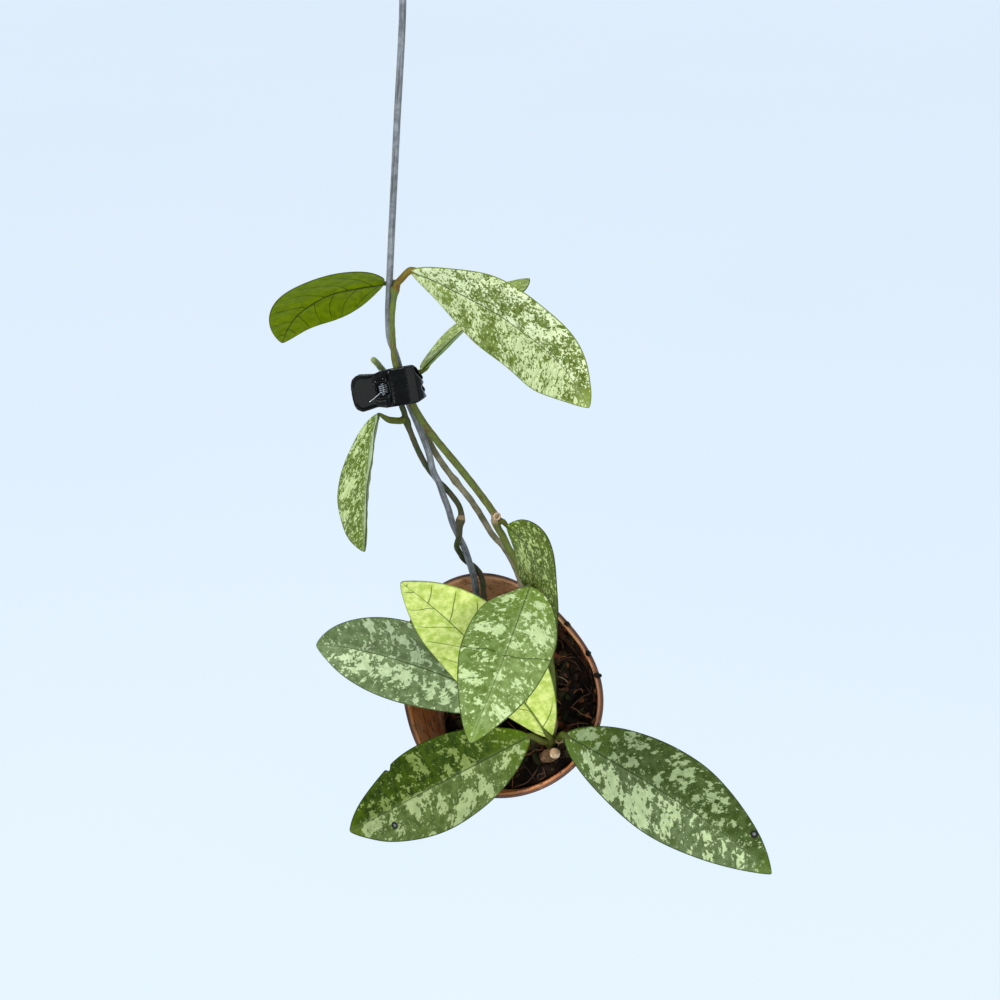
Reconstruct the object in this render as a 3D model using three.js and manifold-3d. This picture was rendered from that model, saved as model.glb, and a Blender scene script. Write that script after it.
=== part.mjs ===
// A splash-leaved climbing hoya in a small pot that hangs from one bent wire.
// Millimetres, +Z up, +Y away from the viewer. The origin is the point of the
// wire's crook that rests on a rail.

import * as THREE from "three";
import { mergeVertices } from "three/addons/utils/BufferGeometryUtils.js";
import Module from "manifold-3d";

const wasm = await Module();
wasm.setup();

// Driving dimensions

const GAP = 0.3; // clearance between pieces that touch

const WIRE_RADIUS = 1.35;
const CROOK_INSIDE_RADIUS = 9; // the crook fits a rail of 16 mm
const CROOK_END_DROP = 14; // how far the free end hangs below the rail's top

const MAIN_VINE_RADIUS = 1.5;
const BROWN_VINE_RADIUS = 1.3;
const TWINING_VINE_RADIUS = 1.2;
const WOODY_BASE_RADIUS = 2.9;

const POT_RIM_RADIUS = 43.3;
const POT_HEIGHT = 75;
const POT_WALL = 1.2;
const POT_TAPER = 0.22; // radius lost for each millimetre of depth
const COLLAR_HEIGHT = 8.5;
const COLLAR_PROUD = 1.2;
const DRAIN_HOLE_RADIUS = 3;
const DRAIN_HOLE_COUNT = 6;
const DRAIN_CIRCLE_INSET = 7; // from the base's edge to the drain holes' centres
const FLOOR_OPEN_RADIUS = 12; // inside it one flat face closes the pot's floor
const WIRE_HOLE_CLEARANCE = 0.55;
const POT_MOUTH = [25, -22, -308.2]; // centre of the mouth
const POT_LEAN = 54.8; // degrees that the pot's axis leans towards the viewer
const POT_TURN = -9.7; // degrees about the upright axis

const BLADE_THICKNESS = 1.2;
const EDGE_THICKNESS = 0.8;
const BLADE_CURL = 1.3; // 1 folds the blade at its midrib, and more bends it
const TIP_HALF_WIDTH = 0.5;
const PETIOLE_RADIUS = 1.4;
const PETIOLE_TAPER = 0.7;

const CHIP_HEIGHT = 0.9;
const MEDIUM_DEPTH = 29.6; // from the rim down to the medium, at the pot's middle
const MEDIUM_SLOPE = [-0.62, 0.477]; // how fast that depth grows along the mouth's X and Y
const LEAST_DEPTH = 3;

const CLIP_WIDTH = 15; // along the hinge pin
const CLIP_CENTRE = [-18.3, -1.7, -182.9];
const CLIP_ROLL = -10; // degrees that its tab end drops
const CLIP_PITCH = -20; // degrees that its top leans away from the viewer
const CLIP_PIN_X = -2.2; // the pin's place along the clip, from its centre
const CLIP_PIN_RADIUS = 0.8;
const CLIP_PIN_CLEARANCE = 0.15;
const EAR_RADIUS = 1.8;
const EAR_THICKNESS = 1.8;
const EAR_ROOT = 4.4; // how far above the pin the ears join the arch
const FRONT_EAR_HEIGHT = 5.6;
const REAR_EAR_HEIGHT = 3.4;
const SPRING_RADIUS = 2;
const SPRING_HALF_LENGTH = 1.9;
const SPRING_WIRE_RADIUS = 0.35;
const SPRING_LEG_ROUTE = [[-3.4, -5.9, -1.2], [-5.6, -6.4, -2.4], [-8.4, -7.5, -4]];

// Counts that set how fine the facets are

const STEM_SIDES = 8;
const STEM_STEP = 4; // millimetres between the rings of a stem
const POT_SEGMENTS = 48;
const LEAF_ROWS = 18;
const LEAF_COLUMNS = 8;

// Routes, as points of the centre lines

const WIRE_ROUTE = [
  [-10.35, -9], [-10.1, -27.7], [-13.2, -75.4], [-16.5, -125.5], [-17.4, -140.7],
  [-18, -152.9], [-17.6, -162.6], [-15.7, -168.5], [-13.8, -175.8], [-12.4, -183.6],
  [-10.5, -190.5], [-8.2, -196.6], [-5.1, -205], [-2.7, -212.5], [-1.2, -219.8],
  [1.2, -225.4], [2.8, -230.8], [4.8, -236.7], [6.7, -244], [9.2, -250],
  [11.6, -255.5], [13.6, -262.4], [15.3, -268.9], [16.1, -274.5],
].map(([x, z]) => [x, 0, z]);

const WIRE_END_ROUTE = [
  [16.3, 0.3, -280], [16.4, 2.6, -285.4], [16.6, 7.5, -288.1], [17, 13, -288.2],
  [17.4, 18.5, -287.9], [17.6, 23.5, -286.9],
];

const MAIN_VINE_ROUTE = [
  [46, -36.3, -329.4], [47.1, -36.5, -326.2], [48.1, -31, -319.9], [47.9, -29, -308.3],
  [47, -27, -296.2], [44.9, -25, -284.7], [41.6, -23, -272.8], [38.3, -20.5, -264],
  [35.1, -17, -259.4], [32.6, -13, -254.5], [29.8, -10, -250.6], [27.3, -8, -245.8],
  [24.9, -6.5, -241.8], [24.3, -5, -238.3], [20.1, -4, -231.7], [10.7, -2.9, -218.7],
  [-1.5, -2.9, -202.3], [-6.8, -3, -193.8], [-10.7, -3.6, -184.8], [-13.7, -3.6, -177],
  [-15.6, -3.3, -171.2], [-16.3, -3.1, -162], [-16.4, -3.1, -151.4], [-15.1, -2, -141.3],
  [-14.9, -1.9, -139.3],
];

const WOODY_BASE_ROUTE = [[43.2, -30, -338.4], [45.1, -37, -333.1], [48.6, -46, -325.8]];

const TWINING_VINE_ROUTE = [
  [-15, -2, -184.5], [-13.6, -2.6, -189.2], [-12.4, -3, -192.7], [-11.7, -3, -196],
  [-8.3, -2.9, -206.3], [-6.2, -1.4, -212.3], [-3.9, 2.2, -218.8], [-1.9, 3.3, -222.4],
  [0.7, 3.6, -226.1], [4.1, 3.2, -229.7], [7, 2.2, -233], [9.3, 0.4, -236],
  [10.2, -1.2, -239.1], [9.7, -2.8, -242.3], [9.4, -3.3, -247.2], [8.3, -2.6, -252.8],
  [9.5, 0.8, -257.7], [10.9, 2.9, -261.4], [13.2, 3.6, -263.9], [15.9, 3.3, -265.8],
  [18.3, 1, -268.5], [19, -1.5, -271.7], [19.4, -4, -275.8], [21.1, -3, -283.3],
  [23.1, 8, -296.8], [24.8, 22, -310.7], [25.7, 30, -318.5],
];

const BROWN_VINE_ROUTE = [
  [-25.2, 5, -172.6], [-23, 7, -176.2], [-19.9, 8.8, -181.1], [-15.6, 8.6, -187.1],
  [-11.2, 6.6, -192.8], [-7.9, 4.6, -197.5], [-4.7, 3.9, -204.2], [-0.2, 3, -213.4],
  [4.9, 2.2, -221.3], [9.9, 1.5, -228], [15, 1, -235], [19.5, 0.8, -242.8],
  [22.8, 0.8, -249], [27.3, 0.8, -254.5], [30, 0, -258.7], [32.7, -2, -263.7],
  [34.8, -5.5, -268.5], [36.5, -7, -275.6], [37.8, -4, -286.6], [39.2, 5, -301],
  [40.3, 15, -313.7], [41.3, 23, -324.6],
];

// Leaves: where the blade starts, bends and ends, which way its upper side
// faces, its full width, where along the blade it is widest, how full its
// outline is, how many degrees its halves fold up, how many millimetres its edge
// waves, and the petiole's route to the blade.

const LEAVES = {
  upper_left: {
    base: [-19.6, 3.6, -140.2], mid: [-55.1, -6.3, -139.8], tip: [-61.6, 12, -168.9],
    face: [-0.05, 0.72, 0.69], width: 35.5, peak: 0.33, full: 0.77, fold: -6, ripple: 0.2,
    petiole: [[-14.4, 0.6, -139.6], [-15.9, 3.2, -140.2]], colour: 0x5d8a18,
  },
  upper_right: {
    base: [-8.9, -6, -132], mid: [46.9, -44.5, -141.8], tip: [59, -70.9, -162.6],
    face: [0.03, -0.97, -0.23], width: 35.6, peak: 0.47, full: 0.8, fold: 8, ripple: 0.8,
    petiole: [[-14.1, -3, -138.3], [-12.4, -4.4, -135.8]], colour: 0xb9cf8e,
  },
  rear_narrow: {
    base: [-5.4, 11.6, -180.4], mid: [15, 38, -166], tip: [38.5, 60, -158.5],
    face: [-0.64, 0.14, 0.75], width: 33, peak: 0.45, full: 0.76, fold: 6, ripple: 0.2,
    petiole: [[-15.5, 11.2, -186.6], [-12.5, 12.9, -185.3], [-8.6, 12.9, -182.9]],
    colour: 0x8fae5a,
  },
  middle_left: {
    base: [-22.6, -12, -189.6], mid: [-27.6, -32.2, -206.1], tip: [-24.9, -77, -218.7],
    face: [-0.85, -0.44, 0.28], width: 34.3, peak: 0.47, full: 0.8, fold: 18, ripple: 0.2,
    petiole: [[-13.1, -4.6, -195.6], [-15.5, -7, -194.8], [-18.5, -10, -193]],
    colour: 0x7f9f5c,
  },
  right: {
    base: [28.6, -8, -241.1], mid: [45.4, -42, -237], tip: [45.7, -44.1, -281.2],
    face: [-0.95, -0.25, 0.2], width: 27.2, peak: 0.49, full: 0.83, fold: -9, ripple: 0.4,
    petiole: [[27.2, -7, -239.5]], colour: 0x6c8c4c,
  },
  centre: {
    base: [38, -40, -252.6], mid: [31, -77.3, -255.4], tip: [14.8, -110, -282.8],
    face: [-0.05, -0.7, 0.71], width: 35.8, peak: 0.47, full: 0.74, fold: 2, ripple: 0.8,
    petiole: [[38.1, -22.9, -262], [38.2, -31, -257.2]], colour: 0x7fa05f,
  },
  lime: {
    base: [47, -40.2, -322.1], mid: [21.4, -41, -277.7], tip: [-12.6, -54.1, -243.1],
    face: [0.22, 0.97, -0.1], width: 38.9, peak: 0.48, full: 0.76, fold: 8, ripple: 0.8,
    petiole: [[46.7, -38.4, -322.6]], colour: 0xc4d668,
  },
  left: {
    base: [42.7, -25.8, -320.1], mid: [-21.5, -47, -274.3], tip: [-48.4, -35, -281.6],
    face: [-0.09, -0.85, 0.52], width: 33.1, peak: 0.51, full: 0.79, fold: 11, ripple: 0.8,
    petiole: [[45.8, -29.3, -318.7]], colour: 0x74995f,
  },
  lower_left: {
    base: [38.4, -38, -322.5], mid: [-9.9, -63.5, -336.4], tip: [-32.4, -97.1, -330.3],
    face: [0.24, -0.81, 0.53], width: 36.7, peak: 0.45, full: 0.75, fold: 9, ripple: 0.8,
    petiole: [[44.2, -37.6, -325.4]], colour: 0x7da05d,
  },
  lower_right: {
    base: [52.2, -45.8, -317.3], mid: [111.2, -44.3, -354.5], tip: [138.3, -58.6, -376.4],
    face: [-0.02, -0.7, 0.71], width: 37.9, peak: 0.4, full: 0.84, fold: 4, ripple: 0.8,
    petiole: [[49.5, -37.6, -324.6], [51.3, -41.5, -320.2]], colour: 0x6f9350,
  },
};

// Helpers

function vector([x, y, z]) {
  return new THREE.Vector3(x, y, z);
}

function degrees(angle) {
  return THREE.MathUtils.degToRad(angle);
}

function geometryFrom(points, faces) {
  const geometry = new THREE.BufferGeometry();
  geometry.setFromPoints(points);
  geometry.setIndex(faces.flat());
  return geometry;
}

function turnedOver([a, b, c]) {
  return [a, c, b];
}

// The volume that the faces enclose, negative where they point inwards.
function signedVolume(points, faces) {
  return faces.reduce((sum, [a, b, c]) => {
    const area = points[b].clone().cross(points[c]);
    return sum + points[a].dot(area) / 6;
  }, 0);
}

function facingOut(points, faces) {
  return signedVolume(points, faces) < 0 ? faces.map(turnedOver) : faces;
}

// A closed body from rings of equal length, with a fan of faces at each end.
function skinned(rings) {
  const sides = rings[0].length;
  const points = rings.flat();
  const faces = [];
  for (let i = 0; i < rings.length - 1; i += 1) {
    for (let j = 0; j < sides; j += 1) {
      const next = (j + 1) % sides;
      const a = i * sides + j;
      const b = i * sides + next;
      faces.push([a, b, a + sides], [b, b + sides, a + sides]);
    }
  }
  const lastRing = (rings.length - 1) * sides;
  const start = points.push(middleOf(rings[0])) - 1;
  const end = points.push(middleOf(rings[rings.length - 1])) - 1;
  for (let j = 0; j < sides; j += 1) {
    const next = (j + 1) % sides;
    faces.push([start, next, j], [end, lastRing + j, lastRing + next]);
  }
  return geometryFrom(points, facingOut(points, faces));
}

function middleOf(ring) {
  const sum = ring.reduce((total, point) => total.add(point), new THREE.Vector3());
  return sum.divideScalar(ring.length);
}

// A round body along a route, with its radius given along its length from 0 to 1.
function stem(route, radiusAt, sides = STEM_SIDES) {
  const curve = new THREE.CatmullRomCurve3(route.map(vector), false, "centripetal");
  const steps = Math.max(3, Math.round(curve.getLength() / STEM_STEP));
  const frames = curve.computeFrenetFrames(steps, false);
  const rings = [];
  for (let i = 0; i <= steps; i += 1) {
    const centre = curve.getPointAt(i / steps);
    const radius = radiusAt(i / steps);
    rings.push(circle(centre, frames.normals[i], frames.binormals[i], radius, sides));
  }
  return skinned(rings);
}

function circle(centre, across, up, radius, sides) {
  return Array.from({ length: sides }, (_, k) => {
    const angle = (k / sides) * Math.PI * 2;
    return centre
      .clone()
      .addScaledVector(across, radius * Math.cos(angle))
      .addScaledVector(up, radius * Math.sin(angle));
  });
}

// Swellings at the nodes of a stem, each given as [place from 0 to 1, extra radius].
function knotted(radius, knots) {
  return (place) =>
    knots.reduce((sum, [at, extra]) => {
      const away = (place - at) / 0.012;
      return sum + extra * Math.exp(-away * away);
    }, radius);
}

function tube(route, radius, steps, sides = STEM_SIDES) {
  const section = new THREE.Shape(
    Array.from({ length: sides }, (_, k) => {
      const angle = (k / sides) * Math.PI * 2;
      return new THREE.Vector2(radius * Math.cos(angle), radius * Math.sin(angle));
    }),
  );
  const curve = new THREE.CatmullRomCurve3(route.map(vector), false, "centripetal");
  return new THREE.ExtrudeGeometry(section, { steps, extrudePath: curve });
}

function solid(geometry) {
  const bare = geometry.clone();
  bare.deleteAttribute("normal");
  bare.deleteAttribute("uv");
  const merged = mergeVertices(bare, 1e-4);
  return new wasm.Manifold(
    new wasm.Mesh({
      numProp: 3,
      vertProperties: new Float32Array(merged.attributes.position.array),
      triVerts: new Uint32Array(merged.index.array),
    }),
  );
}

function geometryOf(manifold) {
  const mesh = manifold.getMesh();
  const geometry = new THREE.BufferGeometry();
  const positions = new THREE.BufferAttribute(mesh.vertProperties, mesh.numProp);
  geometry.setAttribute("position", positions);
  geometry.setIndex(new THREE.BufferAttribute(mesh.triVerts, 1));
  return geometry;
}

function named(name, geometry, colour, roughness = 0.5, metalness = 0) {
  geometry.computeVertexNormals();
  const material = new THREE.MeshStandardMaterial({ color: colour, roughness, metalness });
  const mesh = new THREE.Mesh(geometry, material);
  mesh.name = name;
  return mesh;
}

function box(low, high) {
  const size = vector(high).sub(vector(low));
  const middle = vector(high).add(vector(low)).multiplyScalar(0.5);
  const geometry = new THREE.BoxGeometry(size.x, size.y, size.z);
  return geometry.translate(middle.x, middle.y, middle.z);
}

// The wire

function crookRoute() {
  const radius = CROOK_INSIDE_RADIUS + WIRE_RADIUS;
  const centre = -CROOK_INSIDE_RADIUS;
  const arc = Array.from({ length: 9 }, (_, k) => {
    const angle = (k / 9) * Math.PI;
    return [radius * Math.cos(angle), 0, centre + radius * Math.sin(angle)];
  });
  return [[radius + 1.2, 0, -CROOK_END_DROP], ...arc];
}

function wireHanger() {
  const route = [...crookRoute(), ...WIRE_ROUTE, ...WIRE_END_ROUTE];
  return named("wire_hanger", tube(route, WIRE_RADIUS, 104), 0x8d9192, 0.35, 0.9);
}

// The vines

function mainVine() {
  const radiusAt = knotted(MAIN_VINE_RADIUS, [[0.02, 1], [0.05, 0.6], [0.45, 0.5], [0.992, 0.7]]);
  const young = (place) => radiusAt(place) - 0.3 * THREE.MathUtils.smoothstep(place, 0.75, 0.9);
  const shoot = solid(stem(MAIN_VINE_ROUTE, young));
  const woody = solid(stem(WOODY_BASE_ROUTE, () => WOODY_BASE_RADIUS, 12));
  return named("vine_main", geometryOf(shoot.add(woody)), 0x6f8a3c, 0.55);
}

function twiningVine() {
  const radiusAt = knotted(TWINING_VINE_RADIUS, [[0.39, 0.7], [0.08, 0.3]]);
  return named("vine_twining", stem(TWINING_VINE_ROUTE, radiusAt), 0x4b5a33, 0.55);
}

function brownVine() {
  const radiusAt = knotted(BROWN_VINE_RADIUS, [[0.35, 0.3], [0.7, 0.4]]);
  return named("vine_brown", stem(BROWN_VINE_ROUTE, radiusAt), 0x6b6149, 0.6);
}

// The leaves

function midribOf(leaf) {
  return new THREE.QuadraticBezierCurve3(vector(leaf.base), vector(leaf.mid), vector(leaf.tip));
}

// Half the blade's width at a place from 0 at its base to 1 at its tip.
function halfWidth(leaf, place) {
  const power = Math.log(0.5) / Math.log(leaf.peak);
  const bulge = Math.sin(Math.PI * place ** power);
  return Math.max(TIP_HALF_WIDTH, (leaf.width / 2) * Math.max(bulge, 0) ** leaf.full);
}

// How far the blade's edge waves up or down. The seed shifts the waves of each leaf.
function waveAt(leaf, place, side, half, seed) {
  const growth = Math.min(1, half / 8);
  return leaf.ripple * side * side * Math.sin(place * 15 + side * 2 + seed) * growth;
}

function blade(leaf, seed) {
  const midrib = midribOf(leaf);
  const face = vector(leaf.face);
  const fold = degrees(leaf.fold);
  const upper = [];
  const lower = [];
  for (let row = 0; row <= LEAF_ROWS; row += 1) {
    const place = 0.01 + (0.99 * row) / LEAF_ROWS;
    const along = midrib.getTangent(place);
    const across = along.clone().cross(face).normalize();
    const up = across.clone().cross(along);
    const half = halfWidth(leaf, place);
    for (let column = 0; column <= LEAF_COLUMNS; column += 1) {
      const side = (2 * column) / LEAF_COLUMNS - 1;
      const edge = Math.abs(side);
      const curl = half * edge ** BLADE_CURL * Math.sin(fold);
      const thickness = THREE.MathUtils.lerp(BLADE_THICKNESS, EDGE_THICKNESS, edge);
      const middle = midrib
        .getPoint(place)
        .addScaledVector(across, side * half * Math.cos(fold))
        .addScaledVector(up, curl + waveAt(leaf, place, side, half, seed));
      upper.push(middle.clone().addScaledVector(up, thickness / 2));
      lower.push(middle.clone().addScaledVector(up, -thickness / 2));
    }
  }
  return plate(upper, lower, LEAF_ROWS, LEAF_COLUMNS);
}

// A closed plate between two grids of points, with the same triangles on both faces.
function plate(upper, lower, rows, columns) {
  const points = [...upper, ...lower];
  const under = upper.length;
  const width = columns + 1;
  const faces = [];
  for (let row = 0; row < rows; row += 1) {
    for (let column = 0; column < columns; column += 1) {
      const a = row * width + column;
      const b = a + 1;
      const c = a + width;
      const d = c + 1;
      faces.push([a, c, b], [b, c, d]);
      faces.push([under + a, under + b, under + c], [under + b, under + d, under + c]);
    }
  }
  const rim = rimOf(rows, columns);
  rim.forEach((here, k) => {
    const next = rim[(k + 1) % rim.length];
    faces.push([here, next, under + here], [next, under + next, under + here]);
  });
  return geometryFrom(points, facingOut(points, faces));
}

// The grid's outer points, in order, the way that closes the plate.
function rimOf(rows, columns) {
  const width = columns + 1;
  const rim = [];
  for (let column = 0; column < columns; column += 1) rim.push(column);
  for (let row = 0; row < rows; row += 1) rim.push(row * width + columns);
  for (let column = columns; column > 0; column -= 1) rim.push(rows * width + column);
  for (let row = rows; row > 0; row -= 1) rim.push(row * width);
  return rim;
}

function leafMesh(name, leaf, seed) {
  const sunk = [0.04, 0.12].map((place) => midribOf(leaf).getPoint(place).toArray());
  const route = [...leaf.petiole, leaf.base, ...sunk];
  const petiole = stem(route, (place) => PETIOLE_RADIUS - PETIOLE_TAPER * place ** 2);
  const whole = solid(blade(leaf, seed)).add(solid(petiole));
  return named("leaf_" + name, geometryOf(whole), leaf.colour, 0.45);
}

// The pot and what fills it, in the pot's own frame: +Z out of the mouth,
// with the mouth at 0 and angles measured from +Y towards +X.

// How far the soft wall is squeezed out of round at the rim.
function squeeze(angle) {
  return (
    0.039 * Math.cos(2 * angle) -
    0.079 * Math.sin(2 * angle) -
    0.039 * Math.sin(3 * angle)
  );
}

function wallRadius(angle, depth) {
  const oval = 1 - depth / POT_HEIGHT;
  return POT_RIM_RADIUS * (1 + oval * squeeze(angle)) - POT_TAPER * depth;
}

function wallRing(depth, offset) {
  return aroundPot((angle) => {
    const radius = wallRadius(angle, depth) + offset;
    return new THREE.Vector3(radius * Math.sin(angle), radius * Math.cos(angle), -depth);
  });
}

function aroundPot(pointAt) {
  return Array.from({ length: POT_SEGMENTS }, (_, k) => pointAt((k / POT_SEGMENTS) * Math.PI * 2));
}

function potFrame() {
  const group = new THREE.Group();
  group.position.copy(vector(POT_MOUTH));
  group.rotation.set(degrees(POT_LEAN), 0, degrees(POT_TURN), "ZXY");
  group.updateMatrix();
  return group;
}

function potShell(frame) {
  const inside = POT_HEIGHT - POT_WALL;
  const rings = [
    wallRing(POT_HEIGHT, -FLOOR_OPEN_RADIUS),
    wallRing(POT_HEIGHT, -1),
    wallRing(POT_HEIGHT - 1, 0),
    ...[58, 42, 26, COLLAR_HEIGHT + 1].map((depth) => wallRing(depth, 0)),
    wallRing(COLLAR_HEIGHT, COLLAR_PROUD),
    wallRing(0.6, COLLAR_PROUD),
    wallRing(0, COLLAR_PROUD - 0.6),
    wallRing(0, -POT_WALL),
    ...[COLLAR_HEIGHT, 26, 42, 58, inside - 3].map((depth) => wallRing(depth, -POT_WALL)),
    wallRing(inside, -POT_WALL - 0.5),
    wallRing(inside, -FLOOR_OPEN_RADIUS),
  ];
  const wireHole = tube(WIRE_END_ROUTE.slice(2), WIRE_RADIUS + WIRE_HOLE_CLEARANCE, 10);
  wireHole.applyMatrix4(frame.matrix.clone().invert());
  const cuts = [wireHole, ...drainHoles()];
  const shell = cuts.reduce((whole, cut) => whole.subtract(solid(cut)), solid(skinned(rings)));
  return named("pot", geometryOf(shell), 0x8a4a2c, 0.4);
}

function drainHoles() {
  const circleRadius = wallRadius(0, POT_HEIGHT) - DRAIN_CIRCLE_INSET;
  return Array.from({ length: DRAIN_HOLE_COUNT }, (_, k) => {
    const angle = ((k + 0.5) / DRAIN_HOLE_COUNT) * Math.PI * 2;
    const hole = new THREE.CylinderGeometry(DRAIN_HOLE_RADIUS, DRAIN_HOLE_RADIUS, 4, 12);
    hole.rotateX(Math.PI / 2);
    return hole.translate(
      circleRadius * Math.sin(angle),
      circleRadius * Math.cos(angle),
      -POT_HEIGHT,
    );
  });
}

// The medium has settled to the low side: its surface is a slope across the pot.
function surfaceDepth(x, y) {
  return Math.max(LEAST_DEPTH, MEDIUM_DEPTH + MEDIUM_SLOPE[0] * x + MEDIUM_SLOPE[1] * y);
}

function chipHeight(x, y) {
  return CHIP_HEIGHT * Math.sin(x * 0.9 + 1.3 * Math.sin(y * 0.5)) * Math.sin(y * 0.8 + 0.7);
}

function surfaceRing(share) {
  return aroundPot((angle) => {
    const reach = (depth) => share * (wallRadius(angle, depth) - POT_WALL - GAP);
    const first = reach(20);
    const depth = surfaceDepth(first * Math.sin(angle), first * Math.cos(angle));
    const x = reach(depth) * Math.sin(angle);
    const y = reach(depth) * Math.cos(angle);
    const chips = share < 1 ? chipHeight(x, y) : 0;
    return new THREE.Vector3(x, y, chips - depth);
  });
}

function medium(frame) {
  const floor = POT_HEIGHT - POT_WALL - GAP;
  const inset = -POT_WALL - GAP;
  const rings = [
    wallRing(floor, inset - FLOOR_OPEN_RADIUS),
    wallRing(floor, inset - 0.6),
    ...[0.8, 0.6, 0.4, 0.2].map((share) => sideRing(floor, share)),
    surfaceRing(1),
    ...[0.85, 0.7, 0.55, 0.4, 0.25, 0.1].map(surfaceRing),
  ];
  const toPot = frame.matrix.clone().invert();
  const cuts = [
    stem(WOODY_BASE_ROUTE, () => WOODY_BASE_RADIUS + GAP, 12),
    stem(MAIN_VINE_ROUTE.slice(0, 3), () => MAIN_VINE_RADIUS + 1 + GAP),
    tube(TWINING_VINE_ROUTE.slice(-4), TWINING_VINE_RADIUS + GAP, 14),
    tube(BROWN_VINE_ROUTE.slice(-3), BROWN_VINE_RADIUS + GAP, 10),
  ];
  const filled = cuts.reduce(
    (whole, cut) => whole.subtract(solid(cut.applyMatrix4(toPot))),
    solid(skinned(rings)),
  );
  return named("medium", geometryOf(filled), 0x2e2219, 0.95);
}

// A ring of the medium's side, part of the way down from its surface to the floor.
function sideRing(floor, share) {
  return surfaceRing(1).map((point, k) => {
    const angle = (k / POT_SEGMENTS) * Math.PI * 2;
    const depth = THREE.MathUtils.lerp(-point.z, floor, share);
    const radius = wallRadius(angle, depth) - POT_WALL - GAP;
    return new THREE.Vector3(radius * Math.sin(angle), radius * Math.cos(angle), -depth);
  });
}

// The clip, in its own frame: +X along it towards the teeth, +Z along the pin,
// and the front half towards -Y.

const JAW_OUTSIDE = [
  [-14.5, 8.4], [-13, 8.9], [-6, 5.8], [-1.5, 5.1], [2.4, 7.5], [8, 8.5], [11.6, 7.1],
  [13.4, 4.4], [14.5, 0.7],
];
const JAW_INSIDE = [
  [13.8, 0.6], [12.3, 3.7], [10.6, 5.7], [7.6, 7], [3.2, 6.1], [0.1, 3.7], [-2, 3.5],
  [-6, 4.5], [-13.8, 7.3],
];
const SPRING_WINDOW = [[-4.9, -1, -2.3], [0.4, 12, 2.3]];

function extrudedOutline(outline, depth) {
  const shape = new THREE.Shape(outline.map(([x, y]) => new THREE.Vector2(x, y)));
  return new THREE.ExtrudeGeometry(shape, { depth, bevelEnabled: false, curveSegments: 6 });
}

// The rear half of the clip, as an arched plate cut to its outline, with two ears.
function clipHalf(outline, earHeight) {
  const arch = extrudedOutline([...JAW_OUTSIDE, ...JAW_INSIDE], CLIP_WIDTH);
  arch.translate(0, 0, -CLIP_WIDTH / 2);
  const cutter = extrudedOutline(outline, 12);
  cutter.rotateX(-Math.PI / 2);
  cutter.scale(1, 1, -1);
  cutter.translate(0, -0.5, 0);
  const plateWithWindow = solid(arch)
    .intersect(mirroredSolid(cutter))
    .subtract(solid(box(...SPRING_WINDOW)));
  return plateWithWindow.add(solid(ear(earHeight))).add(solid(ear(-earHeight)));
}

// A geometry that a negative scale has turned inside out, as a solid.
function mirroredSolid(geometry) {
  const index = geometry.index ?? null;
  const flipped = index ? geometry.toNonIndexed() : geometry.clone();
  const positions = flipped.attributes.position;
  for (let i = 0; i < positions.count; i += 3) {
    const second = new THREE.Vector3().fromBufferAttribute(positions, i + 1);
    const third = new THREE.Vector3().fromBufferAttribute(positions, i + 2);
    positions.setXYZ(i + 1, third.x, third.y, third.z);
    positions.setXYZ(i + 2, second.x, second.y, second.z);
  }
  return solid(flipped);
}

// An ear that hangs from the arch and turns on the pin.
function ear(height) {
  const bore = CLIP_PIN_RADIUS + CLIP_PIN_CLEARANCE;
  const outline = new THREE.Shape();
  outline.moveTo(CLIP_PIN_X - EAR_RADIUS, EAR_ROOT);
  outline.lineTo(CLIP_PIN_X - EAR_RADIUS, 0);
  outline.absarc(CLIP_PIN_X, 0, EAR_RADIUS, Math.PI, Math.PI * 2, false);
  outline.lineTo(CLIP_PIN_X + EAR_RADIUS, EAR_ROOT);
  const hole = new THREE.Path();
  hole.absarc(CLIP_PIN_X, 0, bore, 0, Math.PI * 2, true);
  outline.holes.push(hole);
  const settings = { depth: EAR_THICKNESS, bevelEnabled: false, curveSegments: 8 };
  const geometry = new THREE.ExtrudeGeometry(outline, settings);
  return geometry.translate(0, 0, height - EAR_THICKNESS / 2);
}

const TAB_OUTLINE = [[-14.6, -3.5], [-13.6, -6], [-11.5, -7.4], [-5, -6.6]];

function clipOutline(teeth) {
  const tabTop = TAB_OUTLINE.map(([x, z]) => [x, -z]).reverse();
  return [...TAB_OUTLINE, [-2, -7.5], [10.9, -7.5], ...teeth, [10.6, 7.5], [-2, 7.5], ...tabTop];
}

// The front half is the rear half turned over, so its heights count downwards.
const FRONT_TEETH = [[11.8, -4.4], [12.8, -2.8], [14.3, -0.1], [13, 1.9], [14.5, 5.9]];
const REAR_TEETH = [[12.8, -5.6], [14.3, -3], [12.9, -0.6], [14.3, 2], [12.7, 4.4], [12.2, 6]];

function clip() {
  const group = new THREE.Group();
  group.position.copy(vector(CLIP_CENTRE));
  group.rotation.set(degrees(CLIP_PITCH), degrees(CLIP_ROLL), 0);
  const front = geometryOf(clipHalf(clipOutline(FRONT_TEETH), FRONT_EAR_HEIGHT));
  const rear = geometryOf(clipHalf(clipOutline(REAR_TEETH), REAR_EAR_HEIGHT));
  front.rotateX(Math.PI);
  group.add(named("clip_front", front, 0x111214, 0.35));
  group.add(named("clip_rear", rear, 0x111214, 0.35));
  group.add(named("clip_pin", clipPin(), 0x9a9c9e, 0.3, 0.9));
  group.add(named("clip_spring", clipSpring(), 0xb9bcc0, 0.3, 0.9));
  group.add(named("clip_spring_leg", clipSpringLeg(), 0xb9bcc0, 0.3, 0.9));
  return group;
}

function clipPin() {
  const pin = new THREE.CylinderGeometry(CLIP_PIN_RADIUS, CLIP_PIN_RADIUS, CLIP_WIDTH + 0.6, 12);
  pin.rotateX(Math.PI / 2);
  return pin.translate(CLIP_PIN_X, 0, 0);
}

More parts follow.
